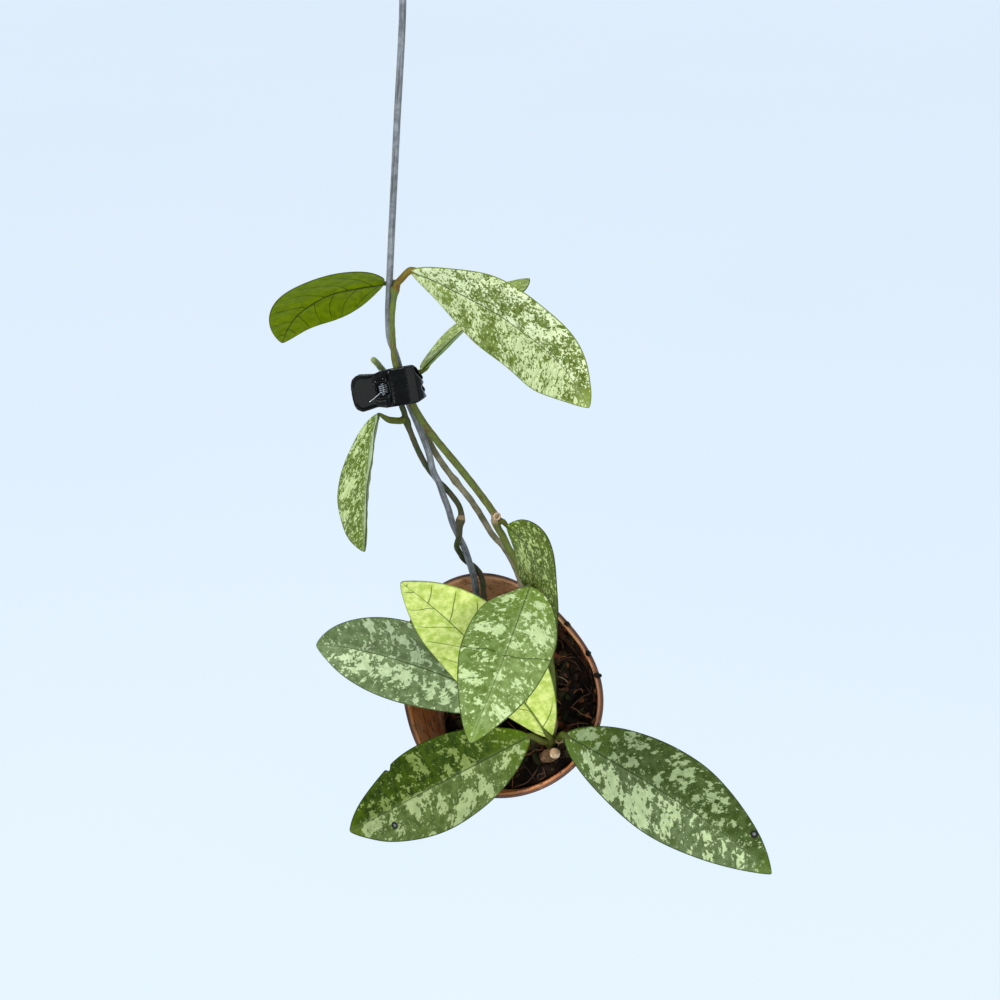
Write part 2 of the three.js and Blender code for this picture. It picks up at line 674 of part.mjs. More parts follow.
// The coil stands for the turns of a torsion spring on the pin.
function clipSpring() {
  const inner = CLIP_PIN_RADIUS + GAP;
  const end = SPRING_HALF_LENGTH;
  const corners = [[inner, -end], [SPRING_RADIUS, -end], [SPRING_RADIUS, end], [inner, end], [inner, -end]];
  const ring = new THREE.LatheGeometry(corners.map(([x, y]) => new THREE.Vector2(x, y)), 16);
  ring.rotateX(Math.PI / 2);
  return ring.translate(CLIP_PIN_X, 0, 0);
}

function clipSpringLeg() {
  return tube(SPRING_LEG_ROUTE, SPRING_WIRE_RADIUS, 6, 6);
}

function build() {
  const root = new THREE.Group();
  root.add(wireHanger(), mainVine(), twiningVine(), brownVine(), clip());
  Object.entries(LEAVES).forEach(([name, leaf], k) => root.add(leafMesh(name, leaf, k * 1.7)));
  const frame = potFrame();
  frame.add(potShell(frame), medium(frame));
  root.add(frame);
  return root;
}

export default build();
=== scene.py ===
# Dresses the hanging hoya in its pot. Units are metres; routes and sizes are
# written in millimetres and scaled by MM. +Z is up and +Y points away from the viewer.
import math
import random

import bmesh
import bpy
import numpy as np
from mathutils import Matrix, Vector, noise


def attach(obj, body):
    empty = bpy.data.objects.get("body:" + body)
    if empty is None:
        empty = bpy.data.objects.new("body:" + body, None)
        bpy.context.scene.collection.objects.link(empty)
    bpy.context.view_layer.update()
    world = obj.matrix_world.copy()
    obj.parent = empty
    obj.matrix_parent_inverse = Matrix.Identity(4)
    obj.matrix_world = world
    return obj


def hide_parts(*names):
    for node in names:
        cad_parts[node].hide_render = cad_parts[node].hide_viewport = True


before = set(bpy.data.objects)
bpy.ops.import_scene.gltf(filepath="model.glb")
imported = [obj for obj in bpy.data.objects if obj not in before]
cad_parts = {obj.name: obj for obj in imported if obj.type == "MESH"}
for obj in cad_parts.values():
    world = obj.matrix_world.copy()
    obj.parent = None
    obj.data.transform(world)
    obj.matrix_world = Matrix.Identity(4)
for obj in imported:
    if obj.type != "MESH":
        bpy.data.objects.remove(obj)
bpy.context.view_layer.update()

MM = 0.001
UV_PER_MM = 0.01  # texture coordinates per millimetre of surface
SPLINE_PARTS = 16  # steps between two points of a route
HANGING = "hanging"
JAW = "clip_front"

# The viewpoint in millimetres, and the floor and the lights in metres

VIEW_POINT = (26.1, -861.0, 168.4)
VIEW_DOWN = 25.0  # degrees below the horizon
LENS = 83.45
FLOOR_HEIGHT = -0.95
FLOOR_REACH = 8.0
FLOOR_GLOW = 0.84
SKY_GLOW = 0.46
PLANT_MIDDLE = (0.02, -0.02, -0.25)

# Sizes that the solids share

GAP = 0.3
WIRE_RADIUS = 1.35
CROOK_INSIDE_RADIUS = 9.0
CROOK_END_DROP = 14.0
MAIN_VINE_RADIUS = 1.5
BROWN_VINE_RADIUS = 1.3
TWINING_VINE_RADIUS = 1.2
WOODY_BASE_RADIUS = 2.9
PETIOLE_RADIUS = 1.4
POT_RIM_RADIUS = 43.3
POT_HEIGHT = 75.0
POT_WALL = 1.2
POT_TAPER = 0.22
COLLAR_HEIGHT = 8.5
COLLAR_PROUD = 1.2
DRAIN_HOLE_RADIUS = 3.0
DRAIN_HOLE_COUNT = 6
POT_MOUTH = (25.0, -22.0, -308.2)
POT_LEAN = 54.8
POT_TURN = -9.7
CLIP_CENTRE = (-18.3, -1.7, -182.9)
CLIP_ROLL = -10.0
CLIP_PITCH = -20.0
CLIP_PIN_X = -2.2

# The side veins, whose pattern the blades' relief and colours share. At x millimetres from the
# midrib a vein is VEIN_SLANT * x + VEIN_BEND * x * x nearer to the tip than at its root.

VEIN_SLANT = 0.6
VEIN_BEND = 0.02
VEIN_SHIFT = 4.1  # how far the veins of the two sides are out of step
VEIN_STEP = 9.5  # from one vein to the next

# Routes of the wire and the vines

WIRE_ROUTE = [(x, 0.0, z) for x, z in (
    (-10.35, -9), (-10.1, -27.7), (-13.2, -75.4), (-16.5, -125.5), (-17.4, -140.7),
    (-18, -152.9), (-17.6, -162.6), (-15.7, -168.5), (-13.8, -175.8), (-12.4, -183.6),
    (-10.5, -190.5), (-8.2, -196.6), (-5.1, -205), (-2.7, -212.5), (-1.2, -219.8),
    (1.2, -225.4), (2.8, -230.8), (4.8, -236.7), (6.7, -244), (9.2, -250),
    (11.6, -255.5), (13.6, -262.4), (15.3, -268.9), (16.1, -274.5),
)]
WIRE_END_ROUTE = [
    (16.3, 0.3, -280), (16.4, 2.6, -285.4), (16.6, 7.5, -288.1), (17, 13, -288.2),
    (17.4, 18.5, -287.9), (17.6, 23.5, -286.9),
]
MAIN_VINE_ROUTE = [
    (46, -36.3, -329.4), (47.1, -36.5, -326.2), (48.1, -31, -319.9), (47.9, -29, -308.3),
    (47, -27, -296.2), (44.9, -25, -284.7), (41.6, -23, -272.8), (38.3, -20.5, -264),
    (35.1, -17, -259.4), (32.6, -13, -254.5), (29.8, -10, -250.6), (27.3, -8, -245.8),
    (24.9, -6.5, -241.8), (24.3, -5, -238.3), (20.1, -4, -231.7), (10.7, -2.9, -218.7),
    (-1.5, -2.9, -202.3), (-6.8, -3, -193.8), (-10.7, -3.6, -184.8), (-13.7, -3.6, -177),
    (-15.6, -3.3, -171.2), (-16.3, -3.1, -162), (-16.4, -3.1, -151.4), (-15.1, -2, -141.3),
    (-14.9, -1.9, -139.3),
]
WOODY_BASE_ROUTE = [(43.2, -30, -338.4), (45.1, -37, -333.1), (48.6, -46, -325.8)]
TWINING_VINE_ROUTE = [
    (-15, -2, -184.5), (-13.6, -2.6, -189.2), (-12.4, -3, -192.7), (-11.7, -3, -196),
    (-8.3, -2.9, -206.3), (-6.2, -1.4, -212.3), (-3.9, 2.2, -218.8), (-1.9, 3.3, -222.4),
    (0.7, 3.6, -226.1), (4.1, 3.2, -229.7), (7, 2.2, -233), (9.3, 0.4, -236),
    (10.2, -1.2, -239.1), (9.7, -2.8, -242.3), (9.4, -3.3, -247.2), (8.3, -2.6, -252.8),
    (9.5, 0.8, -257.7), (10.9, 2.9, -261.4), (13.2, 3.6, -263.9), (15.9, 3.3, -265.8),
    (18.3, 1, -268.5), (19, -1.5, -271.7), (19.4, -4, -275.8), (21.1, -3, -283.3),
    (23.1, 8, -296.8), (24.8, 22, -310.7), (25.7, 30, -318.5),
]
BROWN_VINE_ROUTE = [
    (-25.2, 5, -172.6), (-23, 7, -176.2), (-19.9, 8.8, -181.1), (-15.6, 8.6, -187.1),
    (-11.2, 6.6, -192.8), (-7.9, 4.6, -197.5), (-4.7, 3.9, -204.2), (-0.2, 3, -213.4),
    (4.9, 2.2, -221.3), (9.9, 1.5, -228), (15, 1, -235), (19.5, 0.8, -242.8),
    (22.8, 0.8, -249), (27.3, 0.8, -254.5), (30, 0, -258.7), (32.7, -2, -263.7),
    (34.8, -5.5, -268.5), (36.5, -7, -275.6), (37.8, -4, -286.6), (39.2, 5, -301),
    (40.3, 15, -313.7), (41.3, 23, -324.6),
]

# Small helpers


def smooth(value, low, high):
    share = min(1.0, max(0.0, (value - low) / (high - low)))
    return share * share * (3 - 2 * share)


def bell(value, middle, spread):
    return math.exp(-(((value - middle) / spread) ** 2))


def angles(count):
    return [2 * math.pi * k / count for k in range(count)]


def linear(red, green, blue):
    """A colour's 0 to 255 screen values as the linear values that shaders take."""
    def one(level):
        level /= 255.0
        return level / 12.92 if level <= 0.04045 else ((level + 0.055) / 1.055) ** 2.4

    return (one(red), one(green), one(blue), 1.0)


def spline(points, step):
    """Points at an even step along a centripetal Catmull-Rom curve through the given points, and
    the curve's length."""
    knots = [Vector(p) for p in points]
    knots = [knots[0] * 2 - knots[1], *knots, knots[-1] * 2 - knots[-2]]
    dense = []
    for a, b, c, d in zip(knots, knots[1:], knots[2:], knots[3:]):
        t1 = math.sqrt((b - a).length)
        t2 = t1 + math.sqrt((c - b).length)
        t3 = t2 + math.sqrt((d - c).length)
        for k in range(SPLINE_PARTS):
            t = t1 + (t2 - t1) * k / SPLINE_PARTS
            p1 = a.lerp(b, t / t1)
            p2 = b.lerp(c, (t - t1) / (t2 - t1))
            p3 = c.lerp(d, (t - t2) / (t3 - t2))
            q1 = p1.lerp(p2, t / t2)
            q2 = p2.lerp(p3, (t - t1) / (t3 - t1))
            dense.append(q1.lerp(q2, (t - t1) / (t2 - t1)))
    dense.append(knots[-2])
    lengths = [0.0]
    for a, b in zip(dense, dense[1:]):
        lengths.append(lengths[-1] + (b - a).length)
    count = max(3, round(lengths[-1] / step))
    wanted = np.linspace(0.0, lengths[-1], count + 1)
    columns = [np.interp(wanted, lengths, [p[axis] for p in dense]) for axis in range(3)]
    return [Vector(p) for p in zip(*columns)], lengths[-1]


def frames_along(points):
    """A pair of cross directions at each point, carried along without twist."""
    tangents = [
        (ahead - behind).normalized()
        for behind, ahead in zip([points[0], *points[:-1]], [*points[1:], points[-1]])
    ]
    start = Vector((0, 1, 0)) if abs(tangents[0].y) < 0.9 else Vector((1, 0, 0))
    across = tangents[0].cross(start).normalized()
    result = []
    for tangent in tangents:
        across = (across - tangent * across.dot(tangent)).normalized()
        result.append((across, tangent.cross(across)))
    return result


def placed(name, data):
    """A new object with the given data, in the scene."""
    thing = bpy.data.objects.new(name, data)
    bpy.context.scene.collection.objects.link(thing)
    return thing


# Meshes


class Shape:
    """A mesh that is put together from patches, with named texture coordinates."""

    def __init__(self, name):
        self.name = name
        self.points = []
        self.faces = []
        self.slots = []
        self.layers = {"flat": [], "form": [], "edge": [], "splash": []}

    def add(self, points, faces, slot=0, **values):
        """Adds a patch; values are lists of pairs, one pair a point, for the named layers."""
        start = len(self.points)
        self.points += points
        self.faces += [[start + k for k in face] for face in faces]
        self.slots += [slot] * len(faces)
        blank = [(0.0, 0.0)] * len(points)
        for key in self.layers:
            self.layers[key] += values.get(key) or blank

    def mesh(self):
        mesh = bpy.data.meshes.new(self.name)
        mesh.from_pydata([tuple(Vector(p) * MM) for p in self.points], [], self.faces)
        return mesh

    def build(self, materials, node=None, body=HANGING):
        """The finished piece, which takes the place of a node if one is given."""
        mesh = self.mesh()
        for material in materials:
            mesh.materials.append(material)
        mesh.polygons.foreach_set("material_index", self.slots)
        mesh.polygons.foreach_set("use_smooth", [True] * len(self.faces))
        corners = np.empty(len(mesh.loops), dtype=np.int64)
        mesh.loops.foreach_get("vertex_index", corners)
        for key, values in self.layers.items():
            layer = mesh.uv_layers.new(name=key)
            layer.data.foreach_set("uv", np.array(values, float)[corners].ravel())
        mesh.validate()
        mesh.update()
        piece = placed(self.name, mesh)
        outward(piece)
        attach(piece, body)
        if node:
            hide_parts(node)
        return piece


def outward(piece):
    """Turns each closed shell of the piece so that its faces look out."""
    work = bmesh.new()
    work.from_mesh(piece.data)
    bmesh.ops.recalc_face_normals(work, faces=work.faces)
    work.to_mesh(piece.data)
    work.free()


def bake(piece):
    """Puts the result of the modifiers into the piece's own mesh."""
    bpy.context.view_layer.update()
    evaluated = piece.evaluated_get(bpy.context.evaluated_depsgraph_get())
    mesh = bpy.data.meshes.new_from_object(evaluated)
    piece.modifiers.clear()
    piece.data = mesh


def cut(piece, tools):
    """Takes the tools' shape out of the piece."""
    tool = placed(tools.name, tools.mesh())
    outward(tool)
    modifier = piece.modifiers.new("holes", "BOOLEAN")
    modifier.operation = "DIFFERENCE"
    modifier.solver = "EXACT"
    modifier.object = tool
    bake(piece)
    bpy.data.objects.remove(tool)


def ring_patch(rings, closed_ends=True):
    """Points and faces of a skin over rings of equal length."""
    sides = len(rings[0])
    points = [p for ring in rings for p in ring]
    faces = []
    for i in range(len(rings) - 1):
        for j in range(sides):
            k = (j + 1) % sides
            faces.append((i * sides + j, i * sides + k, (i + 1) * sides + k, (i + 1) * sides + j))
    if closed_ends:
        faces.append(tuple(reversed(range(sides))))
        last = (len(rings) - 1) * sides
        faces.append(tuple(last + j for j in range(sides)))
    return points, faces


def tube(shape, route, radius, sides=14, step=0.9, slot=0, dome=True, roughness=0.0):
    """Adds a round stem along a route. The radius is a number, or a function that takes the
    millimetres from the route's start and the route's length."""
    centres, length = spline(route, step)
    rings, flat, form = [], [], []
    for k, (centre, (across, up)) in enumerate(zip(centres, frames_along(centres))):
        along = length * k / (len(centres) - 1)
        reach = radius(along, length) if callable(radius) else radius
        end = min(along, length - along)
        if dome and end < 1.3:
            reach *= math.sqrt(smooth(end + 0.25, 0.0, 1.6))
        ring = []
        for angle in angles(sides):
            x, y = math.cos(angle), math.sin(angle)
            bump = roughness * noise.noise(Vector((x, y, along * 0.35)))
            ring.append(centre + (across * x + up * y) * (reach + bump))
        rings.append(ring)
        flat += [(j / sides, along * UV_PER_MM) for j in range(sides)]
        form += [(along / length, j / sides) for j in range(sides)]
    points, faces = ring_patch(rings)
    shape.add(points, faces, slot, flat=flat, form=form)


# Materials


class Signal:
    """A value that a material's nodes work out. Arithmetic on it adds Math nodes."""

    def __init__(self, shader, socket):
        self.shader = shader
        self.socket = socket

    def __add__(self, other):
        return self.shader.math("ADD", self, other)

    def __sub__(self, other):
        return self.shader.math("SUBTRACT", self, other)

    def __rsub__(self, other):
        return self.shader.math("SUBTRACT", other, self)

    def __mul__(self, other):
        return self.shader.math("MULTIPLY", self, other)

    def __truediv__(self, other):
        return self.shader.math("DIVIDE", self, other)

    def __abs__(self):
        return self.shader.math("ABSOLUTE", self)

    __radd__ = __add__
    __rmul__ = __mul__


class Shader:
    """A principled material under construction, with short calls for the nodes that it needs."""

    def __init__(self, name, **values):
        self.material = bpy.data.materials.new(name)
        self.material.use_nodes = True
        self.tree = self.material.node_tree
        self.tree.nodes.clear()
        output = self.tree.nodes.new("ShaderNodeOutputMaterial")
        self.surface = self.tree.nodes.new("ShaderNodeBsdfPrincipled")
        self.tree.links.new(self.surface.outputs[0], output.inputs[0])
        for key, value in values.items():
            self.set(key.replace("_", " "), value)

    def set(self, socket, value):
        self.put(self.surface.inputs[socket], value)

    def put(self, socket, value):
        """Links or sets a socket. A tuple is a colour's 0 to 255 screen values."""
        if isinstance(value, Signal):
            self.tree.links.new(value.socket, socket)
        else:
            socket.default_value = linear(*value) if isinstance(value, tuple) else value

    def node(self, kind, inputs=(), **settings):
        """The outputs of a new node, by number and by name."""
        node = self.tree.nodes.new(kind)
        for key, value in settings.items():
            setattr(node, key, value)
        for key, value in dict(inputs).items():
            self.put(node.inputs[key], value)
        signals = [Signal(self, socket) for socket in node.outputs]
        return {**{signal.socket.name: signal for signal in signals}, **dict(enumerate(signals))}

    def math(self, operation, *values):
        return self.node("ShaderNodeMath", dict(enumerate(values)), operation=operation)[0]

    def between(self, value, low, high):
        """0 below low, 1 above high, smooth between; turned over where low is above high."""
        reverse = low > high
        inputs = {0: value, 1: min(low, high), 2: max(low, high), 3: float(reverse), 4: float(not reverse)}
        return self.node("ShaderNodeMapRange", inputs, interpolation_type="SMOOTHSTEP")[0]

    def mix(self, share, first, second):
        return self.node("ShaderNodeMix", {0: share, 6: first, 7: second}, data_type="RGBA")[2]

    def blend(self, value, low, high, first, second):
        """The first colour where the value is low, and the second where it is high."""
        return self.mix(self.between(value, low, high), first, second)

    def texture_axes(self, layer):
        place = self.node("ShaderNodeUVMap", uv_map=layer)[0]
        split = self.node("ShaderNodeSeparateXYZ", {0: place})
        return split[0], split[1]

    def vector(self, x, y, z=0.0):
        return self.node("ShaderNodeCombineXYZ", {0: x, 1: y, 2: z})[0]

    def position(self):
        return self.node("ShaderNodeTexCoord")["Object"]

    def noise(self, vector, scale, detail=3.0, roughness=0.5):
        inputs = {"Vector": vector, "Scale": scale, "Detail": detail, "Roughness": roughness}
        return self.node("ShaderNodeTexNoise", inputs)[0]

    def cells(self, vector, scale):
        """For each cell the distance and the place of its middle, and two random numbers."""
        cell = self.node("ShaderNodeTexVoronoi", {"Vector": vector, "Scale": scale})
        chances = self.node("ShaderNodeSeparateColor", {0: cell["Color"]})
        return cell["Distance"], cell["Position"], chances[0], chances[1]

    def finish(self, colour, roughness, height=None, strength=0.0, distance=0.0):
        """Sets the surface and returns the material. The height gives it a fine relief."""
        self.set("Base Color", colour)
        self.set("Roughness", roughness)
        if height:
            inputs = {"Strength": strength, "Distance": distance, "Height": height}
            self.set("Normal", self.node("ShaderNodeBump", inputs)[0])
        return self.material


SPLASH_CUT = 0.27  # the splash level from which the skin is pale
SPOT_RIM = (28, 32, 26)
SPOT_MIDDLE = (120, 124, 122)
NODE_TAN = (156, 134, 102)
BARK_SHADE = (40, 38, 22)
MOSS = (34, 42, 18)


def centred(value, amount):
    """A value from 0 to 1 as a swing of that amount about zero."""
    return (value - 0.5) * amount


def vein_place(shader, across, along):
    """A measure along the blade that is constant on each side vein."""
    distance = abs(across)
    slant = distance * VEIN_SLANT + distance * distance * (VEIN_BEND / UV_PER_MM)
    return along - slant + shader.math("GREATER_THAN", across, 0.0) * (VEIN_SHIFT * UV_PER_MM)


def side_veins(shader, look, across, along, place):
    wander = shader.noise(shader.vector(across, along, look["seed"]), 7.0, 1.0)
    wavy = place + centred(wander, 0.045)
    spaced = shader.math("FRACT", wavy / (look["vein_step"] * UV_PER_MM))
    return shader.between(abs(spaced - 0.5), 0.034, 0.008)


def splash_level(shader, look, across, place, tip_share):
    """How strongly the pale splash shows, before it is cut: marks, islands and ragged edges."""
    bias = shader.texture_axes("splash")[0]
    drift = place + abs(across) * 0.55
    stretched = shader.vector(across * look["stretch"], drift, look["seed"])
    middle, chance = shader.cells(stretched, 120.0)[1:3]
    coarse = shader.noise(stretched, 21.0, 2.0, 0.5)
    islands = shader.noise(stretched, 46.0, 2.0, 0.6)
    ragged = shader.noise(middle, 90.0, 2.0, 0.6)
    level = bias * look["mark"] + look["base"] + centred(coarse, 0.5) + centred(islands, look["islands"])
    return level + centred(ragged, 0.5) + centred(chance, look["speckle"]) + tip_share * -0.12


def fine_dots(shader, look, across, along, level):
    """Dots of about half a millimetre and of a millimetre, closer together near the splash."""
    near = shader.between(level, SPLASH_CUT - 0.35, SPLASH_CUT)
    result = 0.0
    for scale, share in ((190.0, look["dots"]), (95.0, look["dots"] * 0.8)):
        place = shader.vector(across, along, look["seed"] + scale)
        distance, _, _, chance = shader.cells(place, scale)
        cut = near * (-2.2 * share) + (1.0 - share)
        size = (chance - cut) * 2.2 + 0.2
        shown = shader.math("LESS_THAN", distance, size) * shader.math("GREATER_THAN", chance, cut)
        result = shader.math("MAXIMUM", result, shown)
    return result


def leaf_material(name, look):
    """Waxy leaf skin: green ground, pale splash with ragged edges, veins and a dark margin."""
    shader = Shader(name, Specular_IOR_Level=look["gloss"])
    across, along = shader.texture_axes("flat")
    share = shader.texture_axes("form")[1]
    margin, upper = shader.texture_axes("edge")
    place = vein_place(shader, across, along)
    vein = side_veins(shader, look, across, along, place) * shader.between(margin, 0.006, 0.03)
    tip_share = shader.between(share, 0.86, 1.0)

    level = splash_level(shader, look, across, place, tip_share)
    splash = shader.between(level, SPLASH_CUT - 0.007, SPLASH_CUT + 0.007)
    dots = fine_dots(shader, look, across, along, level) * 0.75
    splash = shader.math("MAXIMUM", splash, dots) * shader.between(margin, 0.002, 0.006)
    veil = shader.between(level, SPLASH_CUT - 0.15, SPLASH_CUT) * look["veil"]

    mottle = shader.noise(shader.vector(across, along, look["seed"] + 9.0), 30.0, 4.0, 0.6)
    blotch = shader.between(mottle, 0.36, 0.64)
    # Painted light: each half of the blade has its own ground and pale colours, and the difference between
    # them is painted sheen and painted shade.
    side = shader.between(across, -0.01, 0.01)
    ground, pale = (
        shader.mix(side, shader.mix(blotch, *look[low]), shader.mix(blotch, *(look[high] or look[low])))
        for low, high in (("low", "high"), ("pale", "pale_high_painted_light"))
    )
    young = shader.math("MAXIMUM", shader.between(share, look["young_to"], 0.0), tip_share)
    ground = shader.mix(young * look["young_share"], ground, look["young"])
    top = shader.mix(shader.math("MAXIMUM", splash, veil), ground, pale)
    top = shader.mix(vein * look["vein_share"], top, look["vein"])
    distance = abs(across)
    rib_width = (1.2 - share) * (0.0042 * look["rib"])
    rib = shader.between(distance / rib_width, 1.0, 0.5)
    halo = shader.math("MAXIMUM", shader.between(distance, 0.017, 0.004) - rib, 0.0)
    top = shader.mix(halo * look["halo"], top, look["pale"][0])
    top = shader.mix(rib * look["midrib"], top, look["vein"])
    for x, y, radius in look["spots"]:
        top = spot(shader, top, across, along, x, y, radius)
    # Painted shade in the creases of the blade.
    for first, last in look["painted_crease_shades"]:
        top = painted_crease_shade(shader, top, across, along, first, last, look["vein"])
    colour = shader.mix(upper, underside(shader, look, mottle, vein, rib), top)
    colour = shader.mix(shader.between(margin, 0.006, 0.001) * 0.8, colour, look["margin"])
    grain = shader.noise(shader.vector(across, along, 2.0), 260.0, 2.0)
    relief = grain * 0.4 - vein * 0.6
    return shader.finish(colour, look["roughness"] + mottle * 0.12, relief, 0.35, 0.0004)


def painted_crease_shade(shader, colour, across, along, first, last, dark):
    """Painted shade along a crease of the blade: a dark line in the vein colour from first to last, each x
    and y in millimetres on the blade.
    """
    (x0, y0), (x1, y1) = first, last
    slope = (y1 - y0) / (x1 - x0)
    line = across * slope + (y0 - slope * x0) * UV_PER_MM
    uneven = shader.noise(shader.vector(across, along, 5.0), 14.0, 2.0)
    shown = shader.between(abs(along - line + centred(uneven, 0.02)), 0.0042, 0.0018)
    inner, outer = sorted((x0 * UV_PER_MM, x1 * UV_PER_MM))
    inside = shader.between(across, inner - 0.01, inner) * shader.between(across, outer + 0.01, outer)
    return shader.mix(shown * inside * 0.75, colour, dark)


def spot(shader, colour, across, along, x, y, radius):
    """A dark healed spot with a paler middle, at x, y in millimetres on the blade."""
    dx = across - x * UV_PER_MM
    dy = along - y * UV_PER_MM
    uneven = shader.noise(shader.vector(across, along, 7.0), 120.0, 2.0)
    away = shader.math("SQRT", dx * dx + dy * dy) + centred(uneven, 0.008)
    edge = radius * UV_PER_MM
    colour = shader.blend(away, edge * 1.25, edge * 0.85, colour, SPOT_RIM)
    return shader.blend(away, edge * 0.6, edge * 0.2, colour, SPOT_MIDDLE)


def underside(shader, look, mottle, vein, rib):
    plain = shader.blend(mottle, 0.35, 0.65, *look["below"])
    plain = shader.mix(vein * look["below_veins"], plain, look["vein"])
    return shader.mix(rib * 0.8, plain, look["vein"])


def stem_material(name, green, brown, share, roughness=0.5, nodes=()):
    """Vine bark: green skin with brown, slightly ridged patches, and tan nodes."""
    shader = Shader(name, Specular_IOR_Level=0.22)
    position = shader.position()
    around, along = shader.texture_axes("flat")
    blotch = shader.noise(position, 90.0, 5.0, 0.65)
    streak = shader.noise(shader.vector(around * 0.35, along, 3.0), 34.0, 4.0, 0.6)
    mask = blotch * 0.5 + streak * 0.5
    colour = shader.blend(mask, 0.58 - share * 0.2, 0.66 - share * 0.2, green, brown)
    shade = shader.between(shader.noise(position, 420.0, 3.0), 0.3, 0.7)
    colour = shader.mix(shade * 0.28, colour, BARK_SHADE)
    place = shader.texture_axes("form")[0]
    for at, reach in nodes:
        away = abs(place - at) + centred(blotch, reach)
        colour = shader.blend(away, reach, reach * 0.5, colour, NODE_TAN)
    return shader.finish(colour, roughness - 0.08 + blotch * 0.2, streak, 0.5, 0.0005)


def brown_vine_material():
    """Grey-brown bark that turns light green towards the young cut end."""
    shader = Shader("vine_grey_brown", Specular_IOR_Level=0.22)
    place = shader.texture_axes("form")[0]
    blotch = shader.noise(shader.position(), 140.0, 5.0, 0.65)
    bark = shader.blend(blotch, 0.35, 0.65, (96, 94, 66), (146, 138, 112))
    bark = shader.blend(blotch, 0.6, 0.75, bark, (96, 112, 60))
    young = shader.blend(blotch, 0.3, 0.7, (124, 142, 78), (150, 168, 106))
    colour = shader.blend(place, 0.16, 0.07, bark, young)
    return shader.finish(colour, 0.5 + blotch * 0.2, blotch, 0.5, 0.0004)


def wire_material():
    """Galvanised steel that has dulled, with darker streaks along it."""
    shader = Shader("galvanised_wire", Metallic=0.25, Specular_IOR_Level=0.3)
    around, along = shader.texture_axes("flat")
    bloom = shader.noise(shader.position(), 300.0, 5.0, 0.7)
    streak = shader.noise(shader.vector(around, along * 0.4, 1.0), 9.0, 5.0, 0.6)
    colour = shader.blend(bloom, 0.35, 0.65, (110, 113, 116), (148, 151, 155))
    colour = shader.blend(streak, 0.5, 0.66, colour, (88, 89, 90))
    return shader.finish(colour, 0.38 + bloom * 0.25, bloom, 0.25, 0.0002)


def black_plastic_material():
    """Glossy black plastic with faint scuffs."""
    shader = Shader("black_plastic", Specular_IOR_Level=0.2)
    wear = shader.noise(shader.position(), 500.0, 4.0, 0.6)
    scuff = shader.between(shader.noise(shader.position(), 1400.0, 2.0), 0.66, 0.74)
    colour = shader.blend(wear, 0.4, 0.7, (3, 4, 4), (9, 12, 12))
    colour = shader.mix(scuff * 0.25, colour, (70, 72, 74))
    return shader.finish(colour, 0.12 + wear * 0.2, wear, 0.15, 0.0002)


def steel_material():
    shader = Shader("spring_steel", Metallic=1.0)
    drawn = shader.noise(shader.position(), 900.0, 2.0)
    return shader.finish(shader.mix(drawn, (150, 154, 158), (200, 204, 208)), 0.2 + drawn * 0.15)


def pot_material():
    """Thin brown plastic: streaks round the wall, pale scale and dirt inside. The inside is painted brighter
    and more orange than the outside, as lit through the wall, its top is painted lighter still, and a band
    of painted shade lies on its right.
    """
    shader = Shader("terracotta_plastic", Specular_IOR_Level=0.35)
    around, depth = shader.texture_axes("flat")
    inside, facing = shader.texture_axes("edge")
    position = shader.position()
    swept = shader.vector(around * 0.3, depth)
    bands = shader.noise(swept, 30.0, 6.0, 0.72)
    wide = shader.noise(swept, 9.0, 3.0, 0.6)
    patches = shader.noise(position, 60.0, 5.0, 0.6)
    # Painted light: one plastic in two copies, the outside painted dark as in shade and the inside painted
    # bright orange as lit through the thin wall.
    outer = shader.blend(patches, 0.35, 0.65, (78, 50, 36), (106, 70, 50))
    outer = shader.blend(bands, 0.54, 0.64, outer, (132, 96, 74))
    inner = shader.blend(patches, 0.35, 0.65, (204, 122, 62), (236, 152, 90))
    inner = shader.blend(wide, 0.44, 0.6, inner, (226, 166, 130))
    inner = shader.blend(bands, 0.47, 0.38, inner, (106, 62, 34))
    # Painted light: the top of the inside wall is painted lighter, as lit.
    painted_light_on_top = shader.between(facing, 0.2, 0.9)
    inner = shader.mix(painted_light_on_top * 0.85, inner, (255, 190, 136))
    inner = shader.mix(shader.between(bands, 0.5, 0.42) * 0.6, inner, (140, 88, 52))
    # Painted shade: a dark red-brown band on the right of the inside, below the lip, where the wall meets
    # the husk.
    painted_shade_band = shader.between(around + centred(patches, 1.2), 7.2, 7.6) * shader.between(depth, 0.01, 0.04)
    inner = shader.mix(painted_shade_band * 0.92, inner, (52, 24, 16))
    scale = shader.noise(position, 240.0, 4.0, 0.7)
    inner = shader.mix(shader.between(scale, 0.6, 0.68) * 0.5, inner, (214, 190, 176))
    inner = shader.blend(shader.noise(position, 900.0, 2.0), 0.68, 0.72, inner, (236, 228, 220))
    ridges = bands * 0.8 + scale * 0.2
    return shader.finish(shader.mix(inside, outer, inner), 0.3 + patches * 0.25, ridges, 0.5, 0.0006)


def husk_material(name, dark, light, moss=0.0):
    shader = Shader(name, Specular_IOR_Level=0.12)
    position = shader.position()
    lump = shader.noise(position, 120.0, 6.0, 0.7)
    colour = shader.blend(lump, 0.38, 0.66, dark, light)
    if moss:
        green = shader.between(shader.noise(position, 70.0, 3.0), 0.6 - moss, 0.7 - moss)
        colour = shader.mix(green * 0.7, colour, MOSS)
    return shader.finish(colour, 0.62 + lump * 0.3, shader.noise(position, 800.0, 4.0, 0.7), 0.7, 0.0005)


def plain_material(name, first, second, scale, roughness):
    shader = Shader(name)
    fine = shader.noise(shader.position(), scale, 4.0, 0.6)
    return shader.finish(shader.blend(fine, 0.35, 0.65, first, second), roughness, fine, 0.4, 0.0003)
